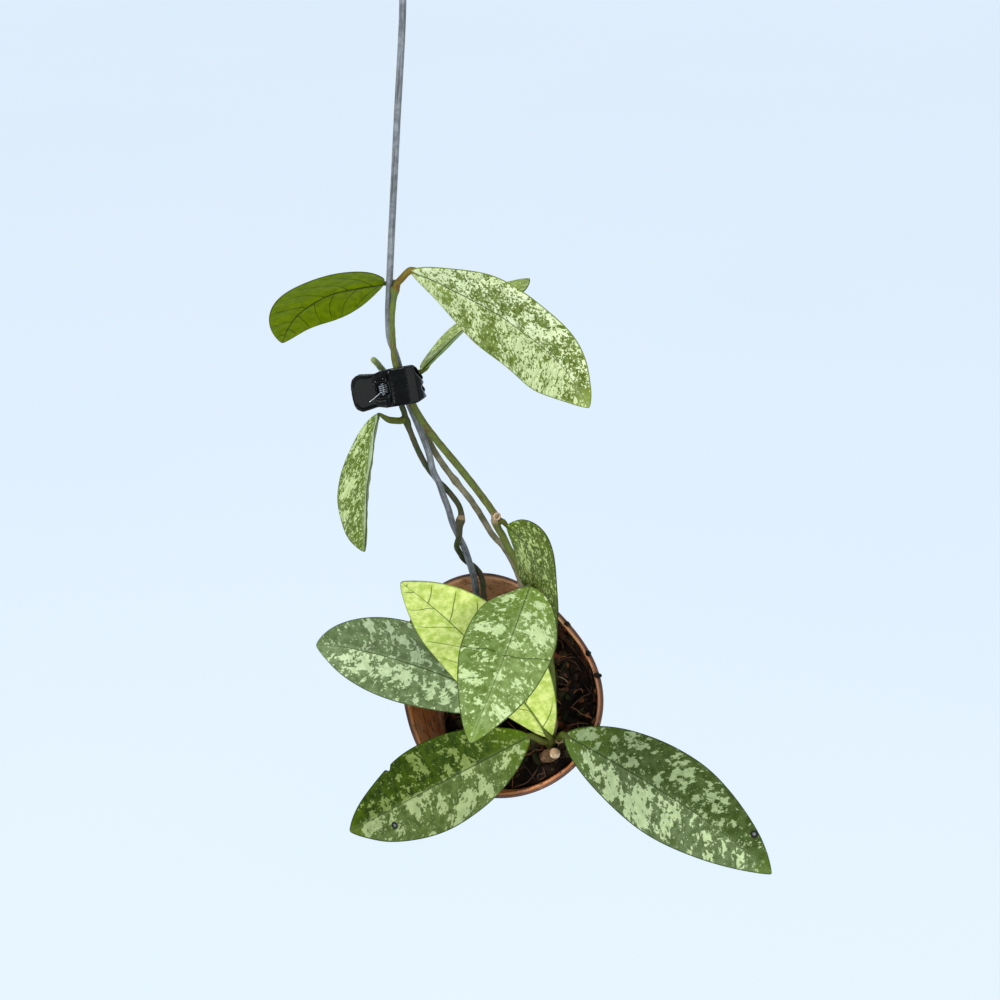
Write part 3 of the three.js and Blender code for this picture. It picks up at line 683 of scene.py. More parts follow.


# The leaves

# A leaf's skin, unless the leaf's own look says otherwise. A pair of colours is a mottle. The side
# of the blade where x is over zero is its high side, and None there means as on the low side.
# Where a look gives the two sides different ground or pale colours, the difference is painted
# light: painted sheen on one half of the blade and painted shade on the other.

LOOK = dict(
    low=((75, 94, 41), (100, 119, 62)), high=None,
    pale=((176, 194, 140), (196, 215, 158)), pale_high_painted_light=None,
    young=(88, 115, 0), vein=(48, 68, 18), margin=(33, 48, 1),
    below=((92, 113, 27), (119, 140, 53)),
    young_to=0.22, young_share=0.7, vein_share=0.22, below_veins=0.45, vein_step=VEIN_STEP, midrib=0.75,
    rib=1.0, halo=0.12, veil=0.1, mark=0.42, base=0.03, islands=1.5, speckle=0.16, dots=0.055, stretch=1.0,
    roughness=0.38, gloss=0.14, spots=(), painted_crease_shades=(),
)

LEAVES = {
    "upper_left": dict(
        base=(-19.6, 3.6, -140.2), mid=(-55.1, -6.3, -139.8), tip=(-61.6, 12, -168.9),
        face=(-0.05, 0.72, 0.69), width=35.5, peak=0.33, full=0.77, fold=-6, ripple=0.2, wave=0.0,
        petiole=[(-14.4, 0.6, -139.6), (-15.9, 3.2, -140.2)],
        look=dict(
            below=((94, 113, 0), (112, 132, 0)), gloss=0.03,
            below_veins=0.9, vein=(30, 42, 0), margin=(30, 38, 0), rib=1.9),
    ),
    "upper_right": dict(
        base=(-8.9, -6, -132), mid=(46.9, -44.5, -141.8), tip=(59, -70.9, -162.6),
        face=(0.03, -0.97, -0.23), width=35.6, peak=0.47, full=0.8, fold=8, ripple=0.8, wave=1.7,
        petiole=[(-14.1, -3, -138.3), (-12.4, -4.4, -135.8)],
        look=dict(
            base=0.3, mark=-0.4, islands=0.8, speckle=0.45, dots=0.14, veil=0.0, vein_share=0.1,
            margin=(112, 132, 56), low=((84, 101, 24), (118, 135, 64)),
            pale=((210, 222, 163), (232, 241, 194)), pale_high_painted_light=((180, 194, 138), (206, 219, 164)),
            young=(138, 156, 64)),
    ),
    "rear_narrow": dict(
        base=(-5.4, 11.6, -180.4), mid=(15, 38, -166), tip=(38.5, 60, -158.5),
        face=(-0.64, 0.14, 0.75), tip_face=(-0.5, -0.4, 0.6), vine=BROWN_VINE_ROUTE,
        width=33, peak=0.45, full=0.76, fold=6, ripple=0.2, wave=3.4,
        petiole=[(-15.5, 11.2, -186.6), (-12.5, 12.9, -185.3), (-8.6, 12.9, -182.9)],
        look=dict(
            speckle=0.3, dots=0.15, pale=((190, 208, 124), (206, 222, 146)),
            low=((108, 132, 34), (142, 164, 74)),
            below=((92, 122, 14), (126, 150, 40))),
    ),
    "middle_left": dict(
        base=(-22.6, -12, -189.6), mid=(-27.6, -32.2, -206.1), tip=(-24.9, -77, -218.7),
        face=(-0.85, -0.44, 0.28), width=34.3, peak=0.47, full=0.8, fold=18, ripple=0.2, wave=5.1,
        petiole=[(-13.1, -4.6, -195.6), (-15.5, -7, -194.8), (-18.5, -10, -193)],
        vine=TWINING_VINE_ROUTE,
        look=dict(
            base=0.1, speckle=0.34, dots=0.12, stretch=1.6,
            pale=((188, 207, 144), (211, 227, 180)),
            low=((140, 158, 100), (168, 185, 132)),
            high=((80, 101, 22), (106, 127, 50)), pale_high_painted_light=((176, 196, 124), (202, 219, 160))),
    ),
    "right": dict(
        base=(28.6, -8, -241.1), mid=(45.4, -42, -237), tip=(45.7, -44.1, -281.2),
        face=(-0.95, -0.25, 0.2), width=28.2, peak=0.49, full=0.83, fold=-9, ripple=0.4, wave=6.8,
        petiole=[(27.2, -7, -239.5)], bites=[(0.3, 0.24, -0.42)],
        look=dict(
            base=0.07, speckle=0.3, dots=0.09, stretch=2.0,
            pale=((162, 182, 106), (186, 206, 128)),
            low=((71, 88, 18), (96, 113, 46)), high=((71, 88, 14), (100, 117, 40))),
    ),
    "centre": dict(
        base=(38, -40, -252.6), mid=(31, -77.3, -255.4), tip=(14.8, -110, -282.8),
        face=(-0.05, -0.7, 0.71), width=35.8, peak=0.47, full=0.74, fold=2, ripple=0.8, wave=8.5,
        petiole=[(38.1, -22.9, -262), (38.2, -31, -257.2)],
        look=dict(
            low=((109, 131, 64), (135, 158, 90)), high=((94, 117, 46), (119, 143, 75)),
            pale=((188, 209, 144), (205, 225, 166)),
            young=(109, 138, 27), young_to=0.4, midrib=0.5, base=0.09, halo=0.2,
            # Painted shade in two creases across the blade.
            painted_crease_shades=[((16.5, 42.5), (4.5, 40.5)), ((0.5, 41), (-17.4, 38.5))]),
    ),
    "lime": dict(
        base=(47, -40.2, -322.1), mid=(21.4, -41, -277.7), tip=(-12.6, -54.1, -243.1),
        face=(0.22, 0.97, -0.1), width=38.9, peak=0.48, full=0.76, fold=8, ripple=0.8, wave=10.2,
        petiole=[(46.7, -38.4, -322.6)],
        look=dict(
            below=((188, 210, 90), (236, 246, 146)), below_veins=0.8, gloss=0.08, rib=1.5,
            vein=(58, 82, 12), margin=(104, 128, 48), vein_step=13.0),
    ),
    "left": dict(
        base=(42.7, -25.8, -320.1), mid=(-21.5, -47, -274.3), tip=(-48.4, -35, -281.6),
        face=(-0.09, -0.85, 0.52), width=33.1, peak=0.51, full=0.79, fold=11, ripple=0.8, wave=11.9,
        petiole=[(45.8, -29.3, -318.7)],
        look=dict(
            low=((94, 113, 68), (119, 138, 92)), high=((82, 98, 58), (106, 125, 80)), base=0.07,
            pale=((184, 202, 152), (204, 221, 172)), pale_high_painted_light=((156, 172, 130), (176, 192, 150)),
            young=(88, 109, 55)),
    ),
    "lower_left": dict(
        base=(38.4, -38, -322.5), mid=(-9.9, -63.5, -336.4), tip=(-32.4, -97.1, -330.3),
        face=(0.24, -0.81, 0.53), width=36.7, peak=0.45, full=0.75, fold=9, ripple=0.8, wave=13.6,
        petiole=[(44.2, -37.6, -325.4)], bites=[(0.655, 0.011, 0.1), (0.642, 0.006, 0.05)],
        look=dict(
            # Painted light: the low half carries painted sheen and the high half painted shade.
            low=((77, 96, 43), (100, 119, 62)), high=((38, 60, 0), (66, 88, 0)),
            pale=((158, 174, 120), (176, 192, 134)), pale_high_painted_light=((122, 140, 70), (140, 157, 84)),
            spots=[(-6.3, 72.0, 1.5)]),
    ),
    "lower_right": dict(
        base=(52.2, -45.8, -317.3), mid=(111.2, -44.3, -354.5), tip=(138.3, -58.6, -376.4),
        face=(-0.02, -0.7, 0.71), width=37.9, peak=0.4, full=0.84, fold=4, ripple=0.8, wave=15.3,
        petiole=[(49.5, -37.6, -324.6), (51.3, -41.5, -320.2)],
        look=dict(
            # Painted light: the low half carries painted shade and the high half painted sheen.
            low=((53, 73, 14), (77, 96, 43)), high=((86, 105, 55), (111, 129, 84)),
            pale=((146, 164, 114), (166, 184, 130)), pale_high_painted_light=((188, 206, 150), (208, 226, 168)),
            spots=[(-7.6, 89.5, 1.6)]),
    ),
}

# The larger marks of the leaves that face the viewer: x and y on the blade and radius, in millimetres.
# They are pale on a green ground, but green on the pale ground of the upper right leaf.

MARKS = {
    "left": [
        (-4, 89, 4), (-5, 81, 4), (-6, 72, 4.5), (-5, 63, 4), (-7, 51, 3.5), (11, 82, 3), (12, 75, 2),
        (9, 68, 2.5), (4, 61, 3), (-3, 44, 2.5), (-9, 44, 2.5), (-14, 56, 2),
    ],
    "centre": [
        (-10, 28, 6), (-3, 19, 3.5), (7, 11, 3.5), (7, 19, 2), (12, 31, 3.5), (6, 30, 3), (13, 41, 2),
        (6, 45, 2), (11, 55, 3.5), (6, 56, 2.5), (-1, 51, 2.5), (-9, 52, 2.5), (-6, 65, 4.5), (-2, 35, 2.5),
        (-6, 12, 2.5), (3, 64, 2),
    ],
    "lower_left": [
        (13, 51, 4), (11, 61, 2.5), (7, 48, 2), (4, 39, 3.5), (9, 33, 2.5), (2, 29, 4), (12, 27, 2),
        (1, 60, 4), (3, 72, 3), (6, 80, 1.5), (2, 79, 2), (-2, 52, 4.5), (-3, 60, 3.5), (-7, 60, 2.5),
        (-3, 70, 3.5), (-3, 80, 4), (-3, 86, 3.5), (-9, 71, 3), (-9, 49, 2.5), (-5, 46, 2), (-1, 32, 3.5),
        (-10, 35, 4), (-14, 40, 4.5), (-17, 47, 4), (-8, 27, 4), (-12, 26, 3.5), (-4, 14, 3), (-2, 6, 3),
        (-17, 58, 2),
    ],
    "lower_right": [
        (-5, 9, 4), (-3, 5, 3), (-8, 19, 2.5), (-12, 26, 3), (-3, 14, 2), (-2, 22, 2.5), (-4, 30, 3),
        (-11, 31, 2), (-14, 33, 2), (-16, 47, 3.5), (-8, 49, 3.5), (-12, 53, 3.5), (-4, 44, 2.5),
        (-7, 55, 2.5), (-5, 62, 2.5), (-10, 67, 4), (-14, 63, 2), (-11, 72, 2.5), (-6, 71, 2), (-2, 76, 2.5),
        (-2, 66, 2), (-6, 80, 1.5), (7, 17, 4), (4, 12, 3), (6, 25, 4), (10, 28, 4), (14, 27, 3.5),
        (11, 37, 5.5), (12, 43, 5.5), (4, 42, 4), (15, 46, 4), (5, 37, 2), (3, 49, 3), (4, 55, 3.5),
        (6, 59, 3.5), (9, 54, 3.5), (13, 58, 2.5), (14, 55, 2.5), (6, 73, 3), (3, 65, 2), (4, 82, 2.5),
        (4, 90, 3.5), (12, 79, 2.5), (15, 71, 2),
    ],
    "upper_right": [
        (-15, 36, 2.5), (-4, 33, 4), (-9, 41, 4.5), (-6, 46, 4), (-1, 39, 3), (-9, 54, 4), (-18, 60, 2),
        (-9, 25, 2.5), (-3, 20, 2), (4, 18, 4), (9, 29, 4), (8, 41, 4), (14, 45, 5.5), (13, 41, 4),
        (13, 56, 3), (18, 62, 2.5), (-10, 63, 2.5), (-11, 66, 2.5), (-4, 73, 4), (-12, 78, 3.5), (-6, 82, 4),
        (-4, 89, 4), (-2, 96, 4), (5, 90, 3.5), (9, 78, 2), (0, 67, 2), (-2, 56, 2.5),
    ],
    "right": [(4, 16, 4), (6, 24, 3.5), (-3, 20, 2.5), (7, 38, 2.5), (-6, 34, 2), (5, 52, 2.5)],
    "middle_left": [(10, 30, 4), (13, 33, 2.5), (7, 6, 3), (8, 14, 2), (12, 43, 2.5)],
}

# The stretch of a blade, in millimetres from its base, that the photograph's side doesn't show.
# Its marks are scattered by chance.

UNSEEN = {"left": (2.0, 40.0), "rear_narrow": (2.0, 46.0), "upper_left": (4.0, 56.0), "lime": (4.0, 96.0)}
MARKS_PER_MM = 0.35
VEIN_ANGLE = math.radians(35)  # marks are drawn out along the veins
BLADE_THICKNESS = 1.1
GROOVE_DEPTH = 0.45  # over the midrib
KEEL_HEIGHT = 0.5  # under the midrib
QUILT_HEIGHT = 0.32  # between the side veins
SWELL_HEIGHT = 0.5  # of slow, uneven waves
LEAF_ROWS = 130
LEAF_COLUMNS = 40


def scattered(name):
    """Marks for a leaf's unseen stretch."""
    if name not in UNSEEN:
        return []
    rng = random.Random(name)
    first, last = UNSEEN[name]
    marks = []
    for _ in range(round((last - first) * MARKS_PER_MM)):
        radius = rng.choice((1.5, 2.0, 2.5, 3.0, 4.0))
        marks.append((rng.uniform(-14.0, 14.0), rng.uniform(first, last), radius))
    return marks


def mark_bias(name, places):
    """How strongly a leaf's marks reach each of its points, which are in millimetres."""
    x, y = np.array(places).T
    total = np.zeros(len(x))
    for mark_x, mark_y, radius in MARKS.get(name, []) + scattered(name):
        dx = (x - mark_x) * (1 if mark_x > 0 else -1)
        dy = y - mark_y
        outward_way = dx * math.cos(VEIN_ANGLE) + dy * math.sin(VEIN_ANGLE)
        cross_way = dy * math.cos(VEIN_ANGLE) - dx * math.sin(VEIN_ANGLE)
        total += np.exp(-((outward_way / (0.95 * radius)) ** 2) - (cross_way / (0.75 * radius)) ** 2)
    return [(min(1.2, value), 0.0) for value in total]


def bezier(leaf, place):
    base, mid, tip = (Vector(leaf[key]) for key in ("base", "mid", "tip"))
    rest = 1 - place
    point = base * rest * rest + mid * 2 * rest * place + tip * place * place
    tangent = ((mid - base) * rest + (tip - mid) * place).normalized()
    return point, tangent


def half_width(leaf, place):
    power = math.log(0.5) / math.log(leaf["peak"])
    bulge = max(0.0, math.sin(math.pi * place ** power))
    return leaf["width"] / 2 * bulge ** leaf["full"]


def leaf_frame(leaf, place):
    """The midrib's point at a place, and there the ways along, across and up from the blade."""
    centre, tangent = bezier(leaf, place)
    face = Vector(leaf["face"]).lerp(Vector(leaf.get("tip_face", leaf["face"])), smooth(place, 0.5, 0.95))
    across = tangent.cross(face).normalized()
    return centre, tangent, across, across.cross(tangent)


def blade_rise(leaf, place, side, half, along):
    """How far the blade stands off its middle plane: fold, waved edge, groove and quilting."""
    edge = abs(side)
    small = min(1.0, half / 8)
    x = edge * half
    rise = half * edge ** 1.3 * math.sin(math.radians(leaf["fold"]))
    rise += leaf["ripple"] * edge * edge * math.sin(place * 15 + side * 2 + leaf["wave"]) * small
    rise -= GROOVE_DEPTH * small * bell(x, 0.0, 1.0) * (1 - 0.6 * place)
    vein = along - VEIN_SLANT * x - VEIN_BEND * x * x + (VEIN_SHIFT if side > 0 else 0.0)
    step = leaf["look"].get("vein_step", VEIN_STEP)
    quilt = 0.5 - 0.5 * math.cos(2 * math.pi * (vein / step + 0.5))
    rise += QUILT_HEIGHT * quilt * small * 4 * edge * (1 - edge)
    swell = noise.noise(Vector((side * half * 0.07, along * 0.07, leaf["wave"])))
    return rise + SWELL_HEIGHT * swell * small


def blade(shape, name, leaf):
    """Adds a leaf's blade: an upper and a lower skin, joined round the edge."""
    sides = [math.sin(math.pi / 2 * (2 * k / LEAF_COLUMNS - 1)) for k in range(LEAF_COLUMNS + 1)]
    flatness = math.cos(math.radians(leaf["fold"]))
    upper, lower, flat, form, margins = [], [], [], [], []
    along = 0.0
    previous = None
    for row in range(LEAF_ROWS + 1):
        place = 0.004 + 0.992 * row / LEAF_ROWS
        centre, _, across, up = leaf_frame(leaf, place)
        along += (centre - previous).length if previous else 0.0
        previous = centre
        full_half = max(0.25, half_width(leaf, place))
        for side in sides:
            half = full_half
            if side > 0:
                for where, spread, depth in leaf.get("bites", ()):
                    half *= 1 - depth * bell(place, where, spread)
            rise = blade_rise(leaf, place, side, full_half, along)
            middle = centre + across * side * half * flatness + up * rise
            thick = BLADE_THICKNESS / 2 * math.sqrt(max(0.0, 1 - abs(side) ** 6))
            thick *= min(1.0, 0.3 + full_half / 5)
            keel = bell(side * half, 0.0, 1.1) * (1 - 0.8 * place) * min(1.0, full_half / 4)
            upper.append(middle + up * thick)
            lower.append(middle - up * (thick + KEEL_HEIGHT * keel))
            flat.append((side * half * UV_PER_MM, along * UV_PER_MM))
            form.append((side * 0.5 + 0.5, place))
            margins.append(full_half * (1 - abs(side)) * UV_PER_MM)
    faces, rim = sheet_faces(LEAF_ROWS, LEAF_COLUMNS)
    count = len(upper)
    both = faces + [tuple(count + k for k in reversed(face)) for face in faces]
    both += [(a, b, count + b, count + a) for a, b in zip(rim, rim[1:] + rim[:1])]
    edge = [(margin, top) for top in (1.0, 0.0) for margin in margins]
    bias = mark_bias(name, [(x / UV_PER_MM, y / UV_PER_MM) for x, y in flat])
    shape.add(upper + lower, both, flat=flat * 2, form=form * 2, edge=edge, splash=bias * 2)


def sheet_faces(rows, columns):
    """The faces of a sheet of points, and the points round its rim."""
    width = columns + 1
    faces = []
    for row in range(rows):
        for column in range(columns):
            a = row * width + column
            faces.append((a, a + 1, a + 1 + width, a + width))
    rim = list(range(columns))
    rim += [row * width + columns for row in range(rows)]
    rim += [rows * width + column for column in range(columns, 0, -1)]
    rim += [row * width for row in range(rows, 0, -1)]
    return faces, rim


def petiole_route(leaf):
    """The leaf stalk starts inside its vine and runs on under the blade as its midrib's keel."""
    vine, _ = spline(leaf.get("vine", MAIN_VINE_ROUTE), 1.0)
    first = Vector(leaf["petiole"][0])
    root = min(vine[3:-3], key=lambda point: (point - first).length)
    keel = []
    for place, drop in ((0.0, 0.5), (0.03, 1.1), (0.08, 0.8), (0.15, 0.55)):
        centre, _, _, up = leaf_frame(leaf, place)
        keel.append(centre - up * drop)
    return [root, *leaf["petiole"], *keel]


def petiole_radius(along, length):
    taper = 1 - 0.82 * smooth(along, length - 16.0, length - 5.0)
    return PETIOLE_RADIUS * (1.0 + 0.12 * bell(along, 1.2, 1.2)) * taper


def make_leaf(name, leaf, stalk_material):
    look = {**LOOK, "seed": leaf["wave"] + 1.0, **leaf["look"]}
    shape = Shape("hoya_leaf_" + name)
    blade(shape, name, leaf)
    tube(shape, petiole_route(leaf), petiole_radius, sides=12, step=0.8, slot=1, roughness=0.08)
    materials = [leaf_material("leaf_" + name, look), stalk_material]
    shape.build(materials, "leaf_" + name)


def make_leaves():
    stalk = stem_material("petiole_green", (84, 96, 26), (92, 74, 34), 0.4, 0.45)
    top_stalk = stem_material("petiole_orange", (118, 104, 28), (118, 66, 26), 0.5, 0.4)
    for name, leaf in LEAVES.items():
        make_leaf(name, leaf, top_stalk if name == "upper_right" else stalk)


# The vines and the wire


def knotted(radius, knots, taper=0.0):
    """A stem's radius with a swelling at each knot: its share of the length, size and spread."""
    def radius_at(along, length):
        share = along / length
        extra = sum(size * bell(share, at, spread) for at, size, spread in knots)
        return radius - taper * smooth(share, 0.75, 0.9) + extra

    return radius_at


def make_vines():
    main = Shape("hoya_vine_main")
    knots = [(0.02, 0.9, 0.008), (0.05, 0.6, 0.01), (0.477, 0.8, 0.009), (0.992, 0.7, 0.01)]
    tube(main, MAIN_VINE_ROUTE, knotted(MAIN_VINE_RADIUS, knots, 0.3), roughness=0.12)
    woody_base(main)
    scars(main)
    nodes = [(0.483, 0.017), (0.05, 0.02)]
    green = stem_material("vine_green", (102, 116, 48), (104, 86, 46), 0.3, nodes=nodes)
    wood = stem_material("vine_wood", (140, 108, 76), (96, 66, 44), 0.6, 0.7)
    scar = plain_material("vine_scar", (226, 200, 164), (176, 140, 104), 500.0, 0.75)
    main.build([green, wood, scar], "vine_main")

    twining = Shape("hoya_vine_twining")
    knots = [(0.4, 0.8, 0.012), (0.08, 0.4, 0.012)]
    tube(twining, TWINING_VINE_ROUTE, knotted(TWINING_VINE_RADIUS, knots), roughness=0.12)
    nodes = [(0.392, 0.008)]
    dark = stem_material("vine_dark", (62, 76, 34), (88, 78, 58), 0.45, nodes=nodes)
    twining.build([dark], "vine_twining")

    brown = Shape("hoya_vine_brown")
    knots = [(0.35, 0.35, 0.01), (0.7, 0.4, 0.01)]
    tube(brown, BROWN_VINE_ROUTE, knotted(BROWN_VINE_RADIUS, knots), roughness=0.15)
    brown.build([brown_vine_material()], "vine_brown")


def woody_base(shape):
    """The old cut stem: bark with rings, and a tan cut face that looks at the viewer."""
    def radius_at(along, length):
        rings = 0.22 * math.sin(along * 2.1) + 0.35 * bell(along, length * 0.62, 1.6)
        return WOODY_BASE_RADIUS - 0.35 + rings * 0.5

    tube(shape, WOODY_BASE_ROUTE, radius_at, sides=20, step=0.6, slot=1, roughness=0.35)
    end = Vector(WOODY_BASE_ROUTE[-1])
    direction = (end - Vector(WOODY_BASE_ROUTE[-2])).normalized()
    face = [end - direction * 0.5, end + direction * 0.12]
    tube(shape, face, WOODY_BASE_RADIUS - 0.75, sides=20, step=0.2, slot=2, dome=False, roughness=0.25)


def scars(shape):
    """Cream leaf scars, as low rings that stand on the bark."""
    for centre, aim, radius in (
        ((24.9, -7.7, -236.9), (0.4, -0.9, 0.15), 1.3),
        ((50.6, -38.2, -323.9), (0.5, -0.8, 0.2), 1.5),
    ):
        ring_shape(shape, Vector(centre), Vector(aim).normalized(), radius, thickness=0.42, slot=2)


def ring_shape(shape, middle, towards, radius, thickness, slot):
    across = towards.orthogonal().normalized()
    up = towards.cross(across)
    rings = []
    for angle in angles(20):
        out = across * math.cos(angle) + up * math.sin(angle)
        centre = middle + out * radius
        rings.append([
            centre + (out * math.cos(turn) + towards * math.sin(turn)) * thickness for turn in angles(8)
        ])
    points, faces = ring_patch(rings + [rings[0]], closed_ends=False)
    count = len(rings) * 8
    shape.add(points[:count], [tuple(k % count for k in face) for face in faces], slot)


def crook_route():
    radius = CROOK_INSIDE_RADIUS + WIRE_RADIUS
    arc = []
    for k in range(9):
        angle = math.pi * k / 9
        arc.append((radius * math.cos(angle), 0.0, radius * math.sin(angle) - CROOK_INSIDE_RADIUS))
    return [(radius + 1.2, 0.0, -CROOK_END_DROP), *arc]


def make_wire():
    wire = Shape("hanger_wire")
    tube(wire, [*crook_route(), *WIRE_ROUTE, *WIRE_END_ROUTE], WIRE_RADIUS, sides=16, step=1.2)
    wire.build([wire_material()], "wire_hanger")


# The pot

POT_SEGMENTS = 144
INNER_SHIFT = 7.0  # keeps the inside's texture coordinates apart from the outside's
WIRE_HOLE_ROOM = 0.45
DRAIN_CIRCLE_INSET = 7.0


def pot_matrix():
    turn = Matrix.Rotation(math.radians(POT_TURN), 4, "Z")
    lean = Matrix.Rotation(math.radians(POT_LEAN), 4, "X")
    return Matrix.Translation(Vector(POT_MOUTH)) @ turn @ lean


POT_FRAME = pot_matrix()
POT_TURNED = POT_FRAME.to_3x3()


def in_pot(radius, angle, height):
    """A point by its distance and angle from the pot's axis, and its height over the mouth."""
    return POT_FRAME @ Vector((radius * math.sin(angle), radius * math.cos(angle), height))


def wall_radius(angle, depth):
    squeeze = 0.039 * math.cos(2 * angle) - 0.079 * math.sin(2 * angle) - 0.039 * math.sin(3 * angle)
    oval = 1 - depth / POT_HEIGHT
    return POT_RIM_RADIUS * (1 + oval * squeeze) - POT_TAPER * depth


def wall_point(angle, depth, offset):
    radius = wall_radius(angle, depth) + offset
    wrinkle = 0.22 * noise.noise(Vector((math.cos(angle) * 3, math.sin(angle) * 3, depth * 0.06)))
    return in_pot(radius + wrinkle * smooth(depth, 0.0, 12.0), angle, -depth)


# The wall's section, from the middle of the base up the outside, over the lip and down the
# inside: the depth below the mouth, and how far the skin stands off the wall's outer face.

POT_OUTSIDE = (
    [(POT_HEIGHT, -20.0), (POT_HEIGHT, -8.0), (POT_HEIGHT, -1.6), (POT_HEIGHT - 0.5, -0.4)]
    + [(POT_HEIGHT - 2 - 3.1 * k, 0.0) for k in range(21)]
    + [(COLLAR_HEIGHT + 0.5, 0.1), (COLLAR_HEIGHT, 0.6), (COLLAR_HEIGHT - 0.4, COLLAR_PROUD)]
    + [(6.0, COLLAR_PROUD), (3.4, COLLAR_PROUD - 0.1), (1.2, COLLAR_PROUD), (0.45, COLLAR_PROUD - 0.15)]
    + [(0.1, COLLAR_PROUD - 0.6), (0.0, 0.0)]
)
POT_INSIDE = (
    [(0.15, -0.8), (0.6, -POT_WALL)]
    + [(2.5 + 3.4 * k, -POT_WALL) for k in range(21)]
    + [(POT_HEIGHT - 2.6, -POT_WALL), (POT_HEIGHT - 1.4, -2.0)]
    + [(POT_HEIGHT - POT_WALL, -8.0), (POT_HEIGHT - POT_WALL, -20.0)]
)


def make_pot():
    pot = Shape("nursery_pot")
    rings, flat, edge = [], [], []
    around = angles(POT_SEGMENTS)
    for inside, profile in enumerate((POT_OUTSIDE, POT_INSIDE)):
        for depth, offset in profile:
            rings.append([wall_point(angle, depth, offset) for angle in around])
            flat += [(math.sin(a) * 1.3 + INNER_SHIFT * inside, depth * UV_PER_MM) for a in around]
            edge += [(float(inside), math.cos(a)) for a in around]
    points, faces = ring_patch(rings)
    pot.add(points, faces, flat=flat, edge=edge)
    cut(pot.build([pot_material()], "pot"), pot_holes())


def pot_holes():
    """Tools for the wire's hole and the drain holes, as one shape."""
    holes = Shape("pot_holes")
    tube(holes, WIRE_END_ROUTE[2:], WIRE_RADIUS + WIRE_HOLE_ROOM, sides=20, step=1.0, dome=False)
    circle_radius = wall_radius(0.0, POT_HEIGHT) - DRAIN_CIRCLE_INSET
    for k in range(DRAIN_HOLE_COUNT):
        angle = 2 * math.pi * (k + 0.5) / DRAIN_HOLE_COUNT
        ends = [in_pot(circle_radius, angle, shift - POT_HEIGHT) for shift in (2.0, -2.0)]
        tube(holes, ends, DRAIN_HOLE_RADIUS, sides=32, step=1.0, dome=False)
    return holes


# The medium

MEDIUM_DEPTH = 29.6  # under the middle of the mouth
MEDIUM_SLOPE = (-0.62, 0.477)  # how the depth grows along the pot's own x and y
LEAST_DEPTH = 3.0
BED_SEGMENTS = 120
BED_RINGS = 22
BED_CHIPS = 420
WALL_CHIPS = 60
LIP_CHIP_ANGLES = (0.76, 1.14, 1.38)
LIP_CHIP_SIZE = (1.3, 1.1, 2.6)
FIBRES = 200


def surface_depth(x, y):
    return max(LEAST_DEPTH, MEDIUM_DEPTH + MEDIUM_SLOPE[1] * y + MEDIUM_SLOPE[0] * x)


def surface_point(share, angle, lift=0.0):
    """A point of the husk's surface, from the pot's axis at 0 to its wall at 1."""
    def reach(depth):
        return share * (wall_radius(angle, depth) - POT_WALL - GAP)

    first = reach(20.0)
    depth = surface_depth(first * math.sin(angle), first * math.cos(angle))
    return in_pot(reach(depth), angle, lift - depth)


def make_medium(rng):
    bed = Shape("husk_bed")
    around = angles(BED_SEGMENTS)
    rings = []
    for depth, inset in ((POT_HEIGHT - 1.5, -14.0), (POT_HEIGHT - 1.5, -2.2), (POT_HEIGHT - 4, -1.6)):
        rings.append([in_pot(wall_radius(angle, depth) + inset, angle, -depth) for angle in around])
    for k in range(BED_RINGS):
        share = 1 - k / BED_RINGS
        ring = []
        for angle in around:
            point = surface_point(share, angle)
            rough = noise.noise(point * 0.35) * 1.6 + noise.noise(point * 1.1) * 0.8
            ring.append(surface_point(share, angle, -0.9 + rough * (0.3 if k == 0 else 1.0)))
        rings.append(ring)
    bed.add(*ring_patch(rings))
    bed.build([husk_material("husk_dark", (9, 6, 4), (34, 21, 12))], "medium")
    make_chips(rng)
    make_fibres(rng)


def unit_ball():
    work = bmesh.new()
    bmesh.ops.create_icosphere(work, subdivisions=2, radius=1.0)
    points = [v.co.copy() for v in work.verts]
    faces = [tuple(v.index for v in face.verts) for face in work.faces]
    work.free()
    return points, faces


def add_chip(chips, ball, middle, turn, size, rough, seed, slot):
    """Adds a rough lump: a ball stretched to its size, turned in the pot and set at its middle."""
    turn = POT_TURNED @ turn
    seed = Vector(seed)
    points = []
    for p in ball[0]:
        swell = 1 + rough * noise.noise(p * 1.7 + seed)
        points.append(middle + turn @ Vector((p.x * size[0], p.y * size[1], p.z * size[2])) * swell)
    chips.add(points, ball[1], slot)


